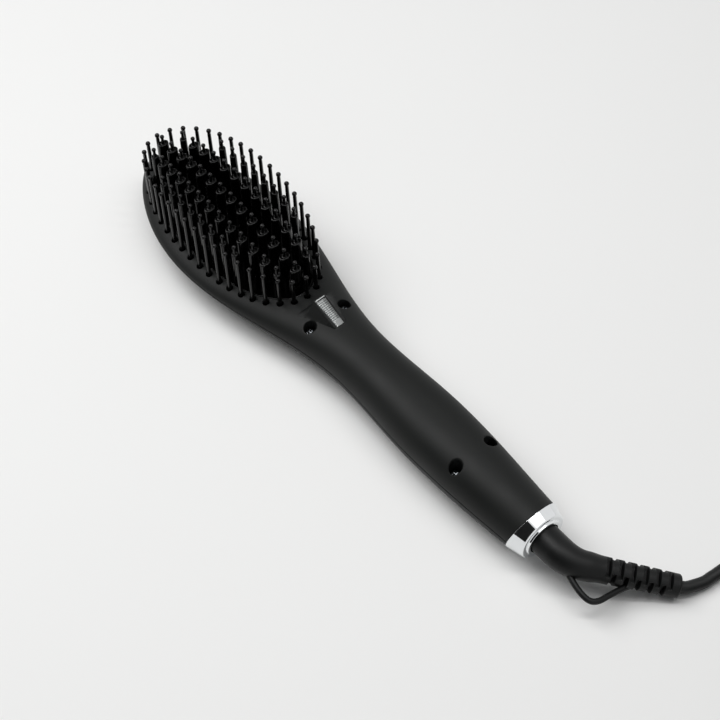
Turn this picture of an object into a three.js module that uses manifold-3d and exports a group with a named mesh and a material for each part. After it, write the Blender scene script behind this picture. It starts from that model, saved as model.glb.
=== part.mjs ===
// Hair straightening brush with a swivelling mains cord, lying on its back.
// Millimetres. +X runs from the head to the cord, +Y across, +Z up to the bristle tips.
// The origin is on the surface that the brush lies on, under the middle of its body.
// Inside the body group, x is counted from the tip of the head and z from the parting plane.
import * as THREE from 'three'
import { mergeVertices } from 'three/addons/utils/BufferGeometryUtils.js'
import Module from 'manifold-3d'

const wasm = await Module()
wasm.setup()

// Clearances
const seatGap = 0.3
const slideGap = 0.4
const fitGap = 0.38
const leadGap = 0.6
const partingGap = 0.3

// Outline of the two shells, stations along the axis from the tip of the head
const shellLength = 250.3
const shellWall = 2
const headHalfWidth = 28.2
const headWidestAt = 60
const noseFullness = 0.66
const waistHalfWidth = 13.4
const waistAt = 152
const gripHalfWidth = 15.2
const gripWidestAt = 195
const endRadius = 12.3
const endTilt = 0.22
const headCrown = 7.4
const noseCrownRun = 18
const crownFlatTo = 66
const gripCrown = 14.4
const gripHighAt = 185
const headBack = 15.3
const noseBackRun = 45
const backFlatTo = 80
const waistBack = 12.6
const gripRestFrom = 200
const gripRestTo = 212
const bodyPower = 2.4
const endPower = 2
const headBackPower = 1.6
const sectionPoints = 22

// Ring of long pins and the opening inside it
const ringHalfLength = 52.4
const ringMargin = 5.5
const ringPower = 2.1
const ringCentreAt = 60
const ringPinCount = 40
const ringBallHeight = 30.1
const ringBallFall = 7.8
const pinBaseRadius = 0.9
const pinTopRadius = 0.7
const ballRadius = 0.92
const pinHoleRadius = 1.5
const openingInset = 2
const frameInset = 1.6
const frameOutset = 1.15
const frameFloor = 0.2
const frameThickness = 1.2

// Heating plate, its rim, tab and studs
const plateThickness = 2.4
const flangeThickness = 1.3
const rimHeight = 4.6
const rimWall = 0.9
const tabLength = 8.6
const tabHalfWidth = 9
const studPitch = 7.2
const studLastAt = 105.3
const studBow = 0.3
const studRows = [
  { aside: 0, count: 14, roundAtEnds: 0, lag: 0 },
  { aside: 0.427, count: 13, roundAtEnds: 1, lag: 2.5 },
  { aside: 0.749, count: 8, roundAtEnds: 4, lag: 20.3 }
]
const ovalHalfLong = 2.6
const ovalHalfWide = 1.75
const roundRadius = 1.5
const studBallHeight = 31.1
const studBallFall = 7.5
const studTipStand = 4.9
const studPinRadius = 0.62
const studBallRadius = 0.85
const studTaper = 0.35

// Heater stack under the plate
const heaterLength = 56
const heaterWidth = 11
const heaterHeight = 4
const clampThickness = 1
const clampWidth = 9
const clampPostRadius = 2.5
const clampPostInset = 6.2
const clampEarLength = 4.4
const fuseRadius = 1.8
const fuseLength = 12
const sensorLength = 5
const sensorWidth = 3
const sensorHeight = 2.2
const sensorSide = 10.5
const shieldThickness = 0.6
const shieldFrom = 12
const shieldTo = 112

// Small screws: clamp, plate tab and board
const smallScrewRadius = 0.9
const smallHeadRadius = 1.8
const smallHeadHeight = 1.1
const smallHoleRadius = 1.35
const tabScrewSide = 6
const tabScrewBack = 4.1
const tabBossRadius = 2.4

// Body screws, their wells in the front shell and pillars in the back shell
const frontScrewAt = 125.6
const rearScrewFromEnd = 33.4
const screwSide = 9.1
const wellRadius = 2.8
const wellFloor = 4.3
const wellBossRadius = 4.2
const wellBossFloor = 1.4
const screwHeadRadius = 2.3
const screwHeadHeight = 1.6
const screwRadius = 1.25
const screwLength = 12
const screwHoleRadius = 1.7
const pillarRadius = 3.3
const pillarTop = 1

// Wedge behind the bristles, with the light lens along its ridge
const wedgeFrontAt = 117
const wedgeRidgeAt = 120.6
const wedgeEndAt = 135.6
const wedgeRidgeHeight = 16.8
const wedgeEndHeight = 11.7
const wedgeHalfBase = 7.9
const wedgeEndHalfBase = 2.5
const wedgeRidgeHalfWidth = 2.6
const wedgeRootDepth = 0.9
const lensLength = 14
const lensHalfWidth = 1.95
const lensDepth = 1.6
const lensProud = 0.3
const lensRibCount = 12
const lensRibDepth = 0.25
const lightHoleRadius = 1.7
const lampRadius = 1.5
const lampHeight = 7.2

// Control board and what it carries
const boardTop = -2
const boardThickness = 1.6
const boardFrom = 122
const boardTo = 194
const boardPillarGap = 0.6
const lampAt = 128
const displayAt = 141
const displayLength = 14
const displayWidth = 9
const displayGlass = 1.5
const displayModuleMargin = 1
const switchSize = 6
const switchHeight = 2.8
const plungerRadius = 1.6
const plungerHeight = 1
const buttonTravel = 0.5
const buttonPlay = buttonTravel + 0.1
const powerButtonAt = 171
const plusButtonAt = 159
const minusButtonAt = 183
const powerButtonRadius = 3.9
const sideButtonRadius = 3.3
const buttonProud = 0.7
const buttonLip = 1
const buttonLipHeight = 1
const stemRadius = 1.5
const boardScrewFrontAt = 152
const boardScrewRearAt = 190.5
const boardBossRadius = 2.5

// Collar and swivelling cord inlet
const collarLength = 7.3
const collarRadius = 12.7
const collarRearRadius = 11
const collarShoulder = 3.7
const collarChamfer = 0.8
const lipLength = 0.8
const lipRadius = 8.6
const spigotLength = 10.6
const spigotBore = 8.2
const spigotRadius = 9.15
const collarHole = 7.15
const carrierThickness = 4
const contactThickness = 0.8
const liveContactRadius = 2.4
const neutralContactInner = 4.4
const neutralContactOuter = 6.8

// Cord boot
const bootRadius = 6.7
const bootFlangeRadius = 7.75
const bootStem = 13.85
const bootTurn = 43.4
const bootDrop = 13.9
const bootBend = 16
const bootLeg = 44.4
const reliefRadius = 5.35
const reliefEndRadius = 4.8
const reliefLength = 31
const reliefPitch = 5
const reliefSlot = 1.4
const reliefCore = 3.2
const reliefNose = 1
const loopRodRadius = 1.3
const loopDrop = 2.2

// Cord, wound coil and plug
const cordRadius = 2.5
const coilAlong = 71.3
const coilAside = 21.2
const coilMeanRadius = 29.4
const coilPitch = 5.7
const coilLayerStep = 5.6
const coilLayers = 4
const coilTurns = 9
const coilSteps = 18
const coilLift = 1.2
const tieThickness = 0.8
const tieGap = 0.7
const tieWidth = 5
const plugHalfWidth = 7
const plugHalfHeight = 6.8
const plugLength = 34
const plugNeckLength = 14
const plugPinRadius = 2
const plugPinLength = 19
const plugPinSpacing = 18.3

// Derived places
const ringHalfWidth = headHalfWidth - ringMargin
const rearScrewAt = shellLength - rearScrewFromEnd
const boardHalfWidth = screwSide - pillarRadius - boardPillarGap
const bodyLength = shellLength + seatGap + collarLength + lipLength
const collarAt = shellLength + seatGap
const collarEnd = collarAt + collarLength
const clamp01 = value => Math.min(1, Math.max(0, value))
const ease = (from, to, share) => from + (to - from) * (1 - Math.cos(Math.PI * clamp01(share))) / 2
const fall = (from, to, share) => to + (from - to) * Math.cos(Math.PI / 2 * clamp01(share))
const between = (t, from, to) => (t - from) / (to - from)
const rad = THREE.MathUtils.degToRad

// Rounded nose of the given run and height, drawn in by an even inset; a power of one half is an ellipse
function nose(t, run, height, inset, fullness = 0.5) {
  const away = clamp01((run - t) / (run - inset))
  return (height - inset) * (1 - away * away) ** fullness
}

// Half width, crown height and back depth of the body at station t, inset from the outer skin
function outline(t, inset) {
  let halfWidth
  if (t < headWidestAt) halfWidth = nose(t, headWidestAt, headHalfWidth, inset, noseFullness)
  else if (t < waistAt) halfWidth = ease(headHalfWidth, waistHalfWidth, between(t, headWidestAt, waistAt)) - inset
  else if (t < gripWidestAt) halfWidth = ease(waistHalfWidth, gripHalfWidth, between(t, waistAt, gripWidestAt)) - inset
  else halfWidth = fall(gripHalfWidth, endRadius, between(t, gripWidestAt, shellLength)) - inset
  let crown
  if (t < noseCrownRun) crown = nose(t, noseCrownRun, headCrown, inset)
  else if (t < gripHighAt) crown = ease(headCrown, gripCrown, between(t, crownFlatTo, gripHighAt)) - inset
  else crown = fall(gripCrown, endRadius, between(t, gripHighAt, shellLength)) - inset
  let back
  if (t < noseBackRun) back = nose(t, noseBackRun, headBack, inset)
  else if (t < waistAt) back = ease(headBack, waistBack, between(t, backFlatTo, waistAt)) - inset
  else if (t < gripRestTo) back = ease(waistBack, headBack, between(t, waistAt, gripRestFrom)) - inset
  else back = fall(headBack, endRadius, between(t, gripRestTo, shellLength)) - inset
  const power = ease(bodyPower, endPower, between(t, gripWidestAt, shellLength))
  const backPower = ease(headBackPower, endPower, between(t, backFlatTo, waistAt))
  return { halfWidth, crown, back, power, backPower }
}

// Height of the skin above the parting plane, or its depth below it, at station t and offset y
function skinAt(t, y, inset, below = false) {
  const { halfWidth, crown, back, power, backPower } = outline(t, inset)
  const bend = below ? backPower : power
  const share = 1 - Math.min(1, Math.abs(y) / halfWidth) ** bend
  return (below ? back : crown) * share ** (1 / bend)
}

// One cross-section of the body, with flat facets at the very top and bottom
function section(t, inset) {
  const { halfWidth, crown, back, power, backPower } = outline(t, inset)
  const ring = []
  for (let i = 0; i < sectionPoints; i++) {
    const angle = 2 * Math.PI * i / sectionPoints
    const cos = Math.cos(angle)
    const sin = Math.sin(angle)
    const bend = sin > 0 ? power : backPower
    const flat = Math.sin(Math.PI / 2 - Math.PI / sectionPoints) ** (2 / bend)
    const y = halfWidth * Math.sign(cos) * Math.abs(cos) ** (2 / bend)
    const rise = Math.min(1, Math.abs(sin) ** (2 / bend) / flat)
    const z = i === 0 || 2 * i === sectionPoints ? 0 : rise * (sin > 0 ? crown : -back)
    ring.push(new THREE.Vector3(t, y, z))
  }
  return ring
}

// Closed geometry through rings of equal length; a ring of one point closes to a pole
function loft(rings) {
  const positions = rings.flat().flatMap(point => point.toArray())
  const index = []
  let start = 0
  for (let r = 0; r + 1 < rings.length; r++) {
    const a = rings[r].length
    const b = rings[r + 1].length
    const next = start + a
    for (let i = 0; i < Math.max(a, b); i++) {
      const j = (i + 1) % Math.max(a, b)
      if (a === 1) index.push(start, next + j, next + i)
      else if (b === 1) index.push(start + i, start + j, next)
      else index.push(start + i, start + j, next + j, start + i, next + j, next + i)
    }
    start = next
  }
  for (const [ring, first, flip] of [[rings[0], 0, false], [rings.at(-1), start, true]]) {
    for (let i = 1; i + 1 < ring.length; i++) {
      index.push(first, first + (flip ? i : i + 1), first + (flip ? i + 1 : i))
    }
  }
  const geometry = new THREE.BufferGeometry()
  geometry.setAttribute('position', new THREE.Float32BufferAttribute(positions, 3))
  geometry.setIndex(index)
  return geometry
}

// Solid from a closed geometry, with shared vertices merged and its faces turned outwards
function solid(geometry) {
  const bare = geometry.clone()
  bare.deleteAttribute('normal')
  bare.deleteAttribute('uv')
  const merged = mergeVertices(bare, 1e-4)
  const position = merged.getAttribute('position')
  const corners = []
  let volume = 0
  const a = new THREE.Vector3()
  const b = new THREE.Vector3()
  const c = new THREE.Vector3()
  for (let i = 0; i < merged.index.count; i += 3) {
    const [u, v, w] = [0, 1, 2].map(k => merged.index.getX(i + k))
    if (u === v || v === w || w === u) continue
    corners.push(u, v, w)
    a.fromBufferAttribute(position, u)
    b.fromBufferAttribute(position, v)
    c.fromBufferAttribute(position, w)
    volume += a.dot(b.cross(c))
  }
  const triVerts = new Uint32Array(corners)
  if (volume < 0) triVerts.reverse()
  const mesh = new wasm.Mesh({ numProp: 3, vertProperties: new Float32Array(position.array), triVerts })
  return new wasm.Manifold(mesh)
}

// Geometry of a solid
function geometryOf(shape) {
  const mesh = shape.getMesh()
  const geometry = new THREE.BufferGeometry()
  geometry.setAttribute('position', new THREE.BufferAttribute(mesh.vertProperties, 3))
  geometry.setIndex(new THREE.BufferAttribute(mesh.triVerts, 1))
  return geometry
}

const joined = shapes => shapes.reduce((sum, shape) => sum.add(shape))
const cutAll = (shape, tools) => tools.reduce((rest, tool) => rest.subtract(tool), shape)

// Upright cylinder or cone between two heights, turned by half a side where asked
function post(x, y, radius, low, high, sides = 12, topRadius = radius, longways = 1) {
  const geometry = new THREE.CylinderGeometry(topRadius, radius, high - low, sides)
  geometry.rotateX(Math.PI / 2).scale(1, longways, 1).translate(x, y, (low + high) / 2)
  return solid(geometry)
}

function block(x0, x1, y0, y1, z0, z1) {
  const geometry = new THREE.BoxGeometry(x1 - x0, y1 - y0, z1 - z0)
  return solid(geometry.translate((x0 + x1) / 2, (y0 + y1) / 2, (z0 + z1) / 2))
}

// Upright prism over an oval round the middle of the pin ring
function ovalPrism(inset, low, high, segments = 40) {
  const outline = []
  for (let i = 0; i < segments; i++) outline.push(new THREE.Vector2(...onOval(inset, 2 * Math.PI * i / segments)))
  const shape = new THREE.Shape(outline)
  const settings = { depth: high - low, bevelEnabled: false }
  return solid(new THREE.ExtrudeGeometry(shape, settings).translate(0, 0, low))
}

// Point of the oval, inset from the pin ring, at the given angle
function onOval(inset, angle) {
  const cos = Math.cos(angle)
  const sin = Math.sin(angle)
  return [
    ringCentreAt + (ringHalfLength - inset) * Math.sign(cos) * Math.abs(cos) ** (2 / ringPower),
    (ringHalfWidth - inset) * Math.sign(sin) * Math.abs(sin) ** (2 / ringPower)
  ]
}

// Body turned about the X axis from a closed profile of [station, radius] pairs; the edge at one station can
// be tilted as the shell's rear end is
function turnedAboutX(profile, sides, tiltedAt = null) {
  const points = [...profile, profile[0]].map(([t, radius]) => new THREE.Vector2(radius, t))
  const geometry = new THREE.LatheGeometry(points, sides).rotateZ(-Math.PI / 2)
  const places = geometry.getAttribute('position')
  for (let i = 0; i < places.count; i++) {
    const t = places.getX(i)
    if (tiltedAt !== null && Math.abs(t - tiltedAt) < 1e-3) places.setX(i, t + endTilt * places.getZ(i))
  }
  return solid(geometry)
}

// Upright turned strand from a profile of [radius, height] pairs that starts and ends on the axis
function strand(x, y, profile, sides) {
  const points = profile.map(([radius, height]) => new THREE.Vector2(radius, height))
  return solid(new THREE.LatheGeometry(points, sides).rotateX(Math.PI / 2).translate(x, y, 0))
}

// Round tube of the given radius along points, its end faces square to the first and last step
function tube(points, radius, sides) {
  const frames = stepFrames(points)
  return loft(points.map((point, i) => circle(point, frames[i], radius, sides)))
}

// Frames carried along a run of points without twist
function stepFrames(points) {
  const frames = []
  let normal = null
  for (let i = 0; i < points.length; i++) {
    const before = points[Math.max(0, i - 1)]
    const after = points[Math.min(points.length - 1, i + 1)]
    const along = after.clone().sub(before).normalize()
    if (!normal) normal = new THREE.Vector3(0, 0, 1)
    normal = normal.clone().addScaledVector(along, -normal.dot(along)).normalize()
    frames.push({ normal, side: new THREE.Vector3().crossVectors(along, normal) })
  }
  return frames
}

function circle(centre, frame, radius, sides) {
  const ring = []
  for (let k = 0; k < sides; k++) {
    const angle = 2 * Math.PI * (k + 0.5) / sides
    const point = centre.clone().addScaledVector(frame.side, radius * Math.sin(angle))
    ring.push(point.addScaledVector(frame.normal, radius * Math.cos(angle)))
  }
  return ring
}

// Materials, as the object shows them
const plastic = (color, roughness) => new THREE.MeshStandardMaterial({ color, roughness, metalness: 0 })
const metal = (color, roughness) => new THREE.MeshStandardMaterial({ color, roughness, metalness: 1 })
const softTouchBlack = plastic('#1b1c1e', 0.6)
const glossBlack = plastic('#0c0c0d', 0.2)
const nylonBlack = plastic('#0e0e0f', 0.3)
const clearPlastic = plastic('#dfe3e6', 0.25)
const rubberBlack = plastic('#1a1b1b', 0.7)
const chrome = metal('#e8eaec', 0.06)
const steel = metal('#a9abad', 0.35)
const brass = metal('#c8a24e', 0.35)
const ceramicWhite = plastic('#e9e6df', 0.5)
const mica = plastic('#b7a98a', 0.6)
const boardGreen = plastic('#1f5a38', 0.5)
const switchGrey = plastic('#3a3c3f', 0.5)
const lampWhite = plastic('#f2f4f5', 0.3)
const wireRed = plastic('#8e2a24', 0.5)
const wireBlue = plastic('#27477f', 0.5)
const tieBlack = plastic('#151515', 0.6)

const body = new THREE.Group()
body.position.set(-bodyLength / 2, 0, headBack)
const surface = new THREE.Group()
const brush = new THREE.Group()
brush.add(body, surface)

function piece(group, name, shape, material) {
  const mesh = new THREE.Mesh(shape.isBufferGeometry ? shape : geometryOf(shape), material)
  mesh.name = name
  group.add(mesh)
}

// Body blank at an inset from the outer skin, run past the shell's end by the given length
function bodyBlank(inset, past) {
  const rings = [[new THREE.Vector3(inset, 0, 0)]]
  const noseSteps = 6
  for (let i = 1; i <= noseSteps; i++) {
    const angle = Math.PI / 2 * i / noseSteps
    rings.push(section(headWidestAt - (headWidestAt - inset) * Math.cos(angle), inset))
  }
  for (const [from, to, steps] of [
    [headWidestAt, backFlatTo, 1],
    [backFlatTo, waistAt, 4],
    [waistAt, gripRestFrom, 3],
    [gripRestFrom, gripRestTo, 1],
    [gripRestTo, shellLength, 3]
  ]) {
    for (let i = 1; i <= steps; i++) rings.push(section(from + (to - from) * i / steps, inset))
  }
  rings.push(rings.pop().map(point => point.clone().setX(point.x + endTilt * point.z)))
  if (past > 0) rings.push(rings.at(-1).map(point => point.clone().setX(point.x + past)))
  return solid(loft(rings))
}

const outerBlank = bodyBlank(0, 0)
const innerBlank = bodyBlank(shellWall, 1)
const fittedBlank = bodyBlank(shellWall + fitGap, 0)
const reach = 40
const above = block(-1, shellLength + 5, -reach, reach, partingGap / 2, reach)
const below = block(-1, shellLength + 5, -reach, reach, -reach, -partingGap / 2)
const screwPlaces = [
  ['head_left', frontScrewAt, -screwSide],
  ['head_right', frontScrewAt, screwSide],
  ['handle_left', rearScrewAt, -screwSide],
  ['handle_right', rearScrewAt, screwSide]
]

// Pins stand at even steps along the oval, the first at its heel
function ringPlaces() {
  const fine = 720
  const points = []
  const lengths = [0]
  for (let i = 0; i <= fine; i++) {
    points.push(onOval(0, 2 * Math.PI * i / fine))
    if (i > 0) {
      const step = Math.hypot(points[i][0] - points[i - 1][0], points[i][1] - points[i - 1][1])
      lengths.push(lengths[i - 1] + step)
    }
  }
  const places = []
  for (let k = 0; k < ringPinCount; k++) {
    const goal = lengths[fine] * k / ringPinCount
    places.push(points[lengths.findIndex(length => length >= goal)])
  }
  return places
}

// Shares of the half length from the middle of the bristle field, from -1 at the toe to 1 at the heel
const fieldShare = x => (x - ringCentreAt) / ringHalfLength
const ringTip = x => ringBallHeight + ballRadius - ringBallFall * fieldShare(x) ** 2
const studTip = x => studBallHeight + studBallRadius - studBallFall * fieldShare(x) ** 2
const flangeTop = frameFloor - seatGap
const plateBottom = flangeTop - flangeThickness
const tabEnd = ringCentreAt + ringHalfLength + tabLength
const tabScrewAt = tabEnd - tabScrewBack

// Raised wedge with hollow flanks that runs out towards the handle
function wedge() {
  const rings = []
  for (const [t, share] of [[wedgeFrontAt, 0], [wedgeRidgeAt, 0], [0, 1 / 3], [0, 2 / 3], [0, 1]]) {
    const at = t || wedgeRidgeAt + (wedgeEndAt - wedgeRidgeAt) * share
    const half = wedgeHalfBase + (wedgeEndHalfBase - wedgeHalfBase) * between(at, wedgeFrontAt, wedgeEndAt)
    const foot = skinAt(at, half, 0)
    const deck = skinAt(at, 0, 0)
    const ridge = at === wedgeFrontAt ? deck + 0.1 : ridgeHeight(at)
    const top = Math.min(wedgeRidgeHalfWidth, half * 0.92)
    const flank = (half + top * 1.6) / 2.6
    const hollow = foot + (ridge - foot) * 0.3
    rings.push([
      new THREE.Vector3(at, -half, foot - wedgeRootDepth),
      new THREE.Vector3(at, half, foot - wedgeRootDepth),
      new THREE.Vector3(at, half, foot + 0.05),
      new THREE.Vector3(at, flank, hollow),
      new THREE.Vector3(at, top, ridge),
      new THREE.Vector3(at, -top, ridge),
      new THREE.Vector3(at, -flank, hollow),
      new THREE.Vector3(at, -half, foot + 0.05)
    ])
  }
  return solid(loft(rings))
}

const ridgeHeight = t => wedgeRidgeHeight
  + (wedgeEndHeight - wedgeRidgeHeight) * between(t, wedgeRidgeAt, wedgeEndAt)
const ridgeSlope = Math.atan2(wedgeRidgeHeight - wedgeEndHeight, wedgeEndAt - wedgeRidgeAt)

// Geometry drawn along the ridge line, its x counted from the ridge's head end
function alongRidge(geometry) {
  return geometry.rotateY(ridgeSlope).translate(wedgeRidgeAt, 0, wedgeRidgeHeight)
}

const lensStart = 0.7

function lensSlot() {
  const length = lensLength + 2 * seatGap
  const height = lensDepth + seatGap + 3
  const slot = new THREE.BoxGeometry(length, 2 * (lensHalfWidth + seatGap), height)
  slot.translate(lensStart - seatGap + length / 2, 0, 3 - height / 2)
  return solid(alongRidge(slot))
}

function frontShell() {
  const shape = outerBlank.intersect(above).subtract(innerBlank)
  const bosses = screwPlaces.map(([, x, y]) => post(x, y, wellBossRadius, wellBossFloor, reach, 10))
  for (const side of [-1, 1]) {
    bosses.push(post(tabScrewAt, side * tabScrewSide, tabBossRadius, flangeTop + seatGap, reach, 10))
  }
  const filled = shape.add(joined(bosses).intersect(outerBlank)).add(wedge())
  const cuts = [ovalPrism(openingInset, -1, reach), lensSlot()]
  for (const [x, y] of ringPlaces()) cuts.push(post(x, y, pinHoleRadius, 0, reach, 5))
  for (const [, x, y] of screwPlaces) {
    cuts.push(post(x, y, wellRadius, wellFloor, reach, 12))
    cuts.push(post(x, y, screwHoleRadius, 0, wellFloor + 1, 6))
  }
  for (const side of [-1, 1]) {
    const depth = flangeTop + seatGap + 5
    cuts.push(post(tabScrewAt, side * tabScrewSide, smallHoleRadius, flangeTop, depth, 8))
  }
  cuts.push(post(lampAt, 0, lightHoleRadius, 0, ridgeHeight(lampAt) - lensDepth, 10))
  return cutAll(filled, cuts)
}

function backShell() {
  const shape = outerBlank.intersect(below).subtract(innerBlank)
  const posts = screwPlaces.map(([, x, y]) => post(x, y, pillarRadius, -reach, pillarTop, 10))
  const bosses = boardScrewPlaces.map(([, x]) => {
    return post(x, 0, boardBossRadius, -reach, boardTop - boardThickness - seatGap, 10)
  })
  const fitted = joined([...posts, ...bosses]).intersect(outerBlank.intersect(below).add(fittedBlank))
  const cuts = screwPlaces.map(([, x, y]) => {
    return post(x, y, screwHoleRadius, wellFloor + seatGap - screwLength - 1, pillarTop + 1, 6)
  })
  for (const [, x] of boardScrewPlaces) cuts.push(post(x, 0, smallHoleRadius, boardTop - 8, 0, 8))
  for (const [, x, radius] of buttonPlaces) cuts.push(post(x, 0, radius + slideGap, -reach, -1, 16))
  const halfLength = displayLength / 2 + seatGap
  const halfWidth = displayWidth / 2 + seatGap
  cuts.push(block(displayAt - halfLength, displayAt + halfLength, -halfWidth, halfWidth, -reach, -1))
  return cutAll(shape.add(fitted), cuts)
}

const buttonPlaces = [
  ['plus', plusButtonAt, sideButtonRadius],
  ['power', powerButtonAt, powerButtonRadius],
  ['minus', minusButtonAt, sideButtonRadius]
]
const boardScrewPlaces = [
  ['front', boardScrewFrontAt],
  ['rear', boardScrewRearAt]
]
const clampPosts = [
  ['front', ringCentreAt - heaterLength / 2 - clampPostInset],
  ['rear', ringCentreAt + heaterLength / 2 + clampPostInset]
]

piece(body, 'front_shell', frontShell(), softTouchBlack)
piece(body, 'back_shell', backShell(), softTouchBlack)

// Oval frame under the front shell with the long ball-tipped pins moulded on it
function bristleRing() {
  const frameTop = frameFloor + frameThickness
  const oval = ovalPrism(-frameOutset, frameFloor, frameTop).intersect(fittedBlank)
  const band = oval.subtract(ovalPrism(frameInset, -1, reach))
  const pins = ringPlaces().map(([x, y]) => {
    const tip = ringTip(x)
    return strand(x, y, [
      [0, frameFloor + 0.5],
      [pinBaseRadius, frameFloor + 0.5],
      [pinTopRadius, tip - 1.75 * ballRadius],
      [ballRadius, tip - ballRadius],
      [ballRadius * 0.6, tip - 0.2 * ballRadius],
      [0, tip]
    ], 5)
  })
  return joined([band, ...pins])
}

piece(body, 'bristle_ring', bristleRing(), nylonBlack)

// Rows of studs at shares of the ring's half width, which draw closer to the middle row towards both ends
function studPlaces() {
  const places = []
  for (const row of studRows) {
    for (const side of row.aside ? [-row.aside, row.aside] : [0]) {
      for (let k = 0; k < row.count; k++) {
        const x = studLastAt - row.lag - k * studPitch
        const fromEnd = Math.min(k, row.count - 1 - k)
        const y = side * ringHalfWidth * (1 - studBow * fieldShare(x) ** 2)
        places.push([x, y, fromEnd < row.roundAtEnds])
      }
    }
  }
  return places
}

function heatingPlate() {
  const pan = ovalPrism(openingInset + seatGap, plateBottom, plateBottom + plateThickness)
  const rim = ovalPrism(openingInset + seatGap, plateBottom, plateBottom + rimHeight)
  const hollow = ovalPrism(openingInset + seatGap + rimWall, plateBottom + 0.5, plateBottom + rimHeight + 1)
  const flange = ovalPrism(-frameOutset, plateBottom, flangeTop).intersect(fittedBlank)
  const tab = block(tabEnd - 2 * tabLength, tabEnd, -tabHalfWidth, tabHalfWidth, plateBottom, flangeTop)
  const studs = studPlaces().map(([x, y, round]) => {
    const tip = studTip(x)
    const shoulder = tip - studTipStand
    const low = plateBottom + 1
    const wide = round ? roundRadius : ovalHalfWide
    const longways = round ? 1 : ovalHalfLong / ovalHalfWide
    const column = post(x, y, wide, low, shoulder, round ? 6 : 8, wide - studTaper, longways)
    const pin = strand(x, y, [
      [0, shoulder - 1],
      [studPinRadius, shoulder - 1],
      [studPinRadius, tip - 1.9 * studBallRadius],
      [studBallRadius, tip - 0.9 * studBallRadius],
      [0, tip]
    ], 4)
    return column.add(pin)
  })
  const posts = clampPosts.map(([, x]) => {
    return post(x, 0, clampPostRadius, plateBottom - seatGap - heaterHeight, plateBottom + 1)
  })
  const cuts = clampPosts.map(([, x]) => post(x, 0, smallHoleRadius, -reach, plateBottom - 0.2, 8))
  for (const side of [-1, 1]) {
    cuts.push(post(tabScrewAt, side * tabScrewSide, smallHoleRadius, -reach, reach, 8))
  }
  return cutAll(joined([pan, rim.subtract(hollow), flange, tab, ...posts, ...studs]), cuts)
}

piece(body, 'heating_plate', heatingPlate(), glossBlack)

// Heater, its spring clamp and the sensors under the plate
const heaterTop = plateBottom - seatGap
const clampTop = heaterTop - heaterHeight - seatGap
const clampBottom = clampTop - clampThickness
const shieldTop = clampBottom - seatGap - smallHeadHeight - seatGap
const clampEnd = heaterLength / 2 + clampPostInset + clampEarLength

piece(body, 'ptc_heater', block(ringCentreAt - heaterLength / 2, ringCentreAt + heaterLength / 2,
  -heaterWidth / 2, heaterWidth / 2, heaterTop - heaterHeight, heaterTop), ceramicWhite)

function heaterClamp() {
  const strip = block(ringCentreAt - clampEnd, ringCentreAt + clampEnd, -clampWidth / 2, clampWidth / 2,
    clampBottom, clampTop)
  return cutAll(strip, clampPosts.map(([, x]) => post(x, 0, smallHoleRadius, -reach, 0, 8)))
}

piece(body, 'heater_clamp', heaterClamp(), steel)

// Small screw with its head against a face at the given height, pointing up or down
function smallScrew(x, y, headFace, length, up) {
  const way = up ? 1 : -1
  const heights = [headFace - way * smallHeadHeight, headFace, headFace + way * length]
  const head = post(x, y, smallHeadRadius, Math.min(heights[0], heights[1]), Math.max(heights[0], heights[1]), 8)
  const low = Math.min(heights[1] - way * 0.2, heights[2])
  const high = Math.max(heights[1] - way * 0.2, heights[2])
  return head.add(post(x, y, smallScrewRadius, low, high, 6))
}

for (const [name, x] of clampPosts) {
  piece(body, `clamp_screw_${name}`, smallScrew(x, 0, clampBottom - seatGap, 4.2, true), steel)
}
for (const [name, side] of [['left', -1], ['right', 1]]) {
  const screw = smallScrew(tabScrewAt, side * tabScrewSide, plateBottom - seatGap, 5, true)
  piece(body, `plate_screw_${name}`, screw, steel)
}

function lyingRod(x0, x1, y, z, radius, sides) {
  const geometry = new THREE.CylinderGeometry(radius, radius, x1 - x0, sides)
  return solid(geometry.rotateZ(Math.PI / 2).translate((x0 + x1) / 2, y, z))
}

piece(body, 'thermal_fuse', lyingRod(ringCentreAt - fuseLength / 2, ringCentreAt + fuseLength / 2,
  sensorSide, plateBottom - seatGap - fuseRadius, fuseRadius, 12), steel)
piece(body, 'temperature_sensor', block(ringCentreAt - sensorLength / 2, ringCentreAt + sensorLength / 2,
  -sensorSide - sensorWidth / 2, -sensorSide + sensorWidth / 2,
  heaterTop - sensorHeight, heaterTop), ceramicWhite)
piece(body, 'heat_shield', block(shieldFrom, shieldTo, -reach, reach, shieldTop - shieldThickness, shieldTop)
  .intersect(fittedBlank), mica)

// Clear lens with fine cross ribs, set in the ridge
function lightLens() {
  const profile = new THREE.Shape()
  const start = lensStart
  const end = lensStart + lensLength
  const plainEnd = lensLength * 0.2
  profile.moveTo(start, -lensDepth)
  profile.lineTo(end, -lensDepth)
  profile.lineTo(end, lensProud)
  const ribStep = (lensLength - plainEnd) / lensRibCount
  for (let i = 0; i < lensRibCount; i++) {
    const top = end - plainEnd - i * ribStep
    profile.lineTo(top, lensProud)
    profile.lineTo(top - ribStep / 2, lensProud - lensRibDepth)
  }
  profile.lineTo(start, lensProud)
  const settings = { depth: 2 * lensHalfWidth, bevelEnabled: false }
  const geometry = new THREE.ExtrudeGeometry(profile, settings)
  return solid(alongRidge(geometry.rotateX(Math.PI / 2).translate(0, lensHalfWidth, 0)))
}

piece(body, 'light_lens', lightLens(), clearPlastic)

// Control board, narrow enough to lie between the screw pillars
const boardBottom = boardTop - boardThickness

function controlBoard() {
  const sheet = block(boardFrom, boardTo, -boardHalfWidth, boardHalfWidth, boardBottom, boardTop)
  return cutAll(sheet, boardScrewPlaces.map(([, x]) => post(x, 0, smallHoleRadius, -reach, 0, 8)))
}

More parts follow.
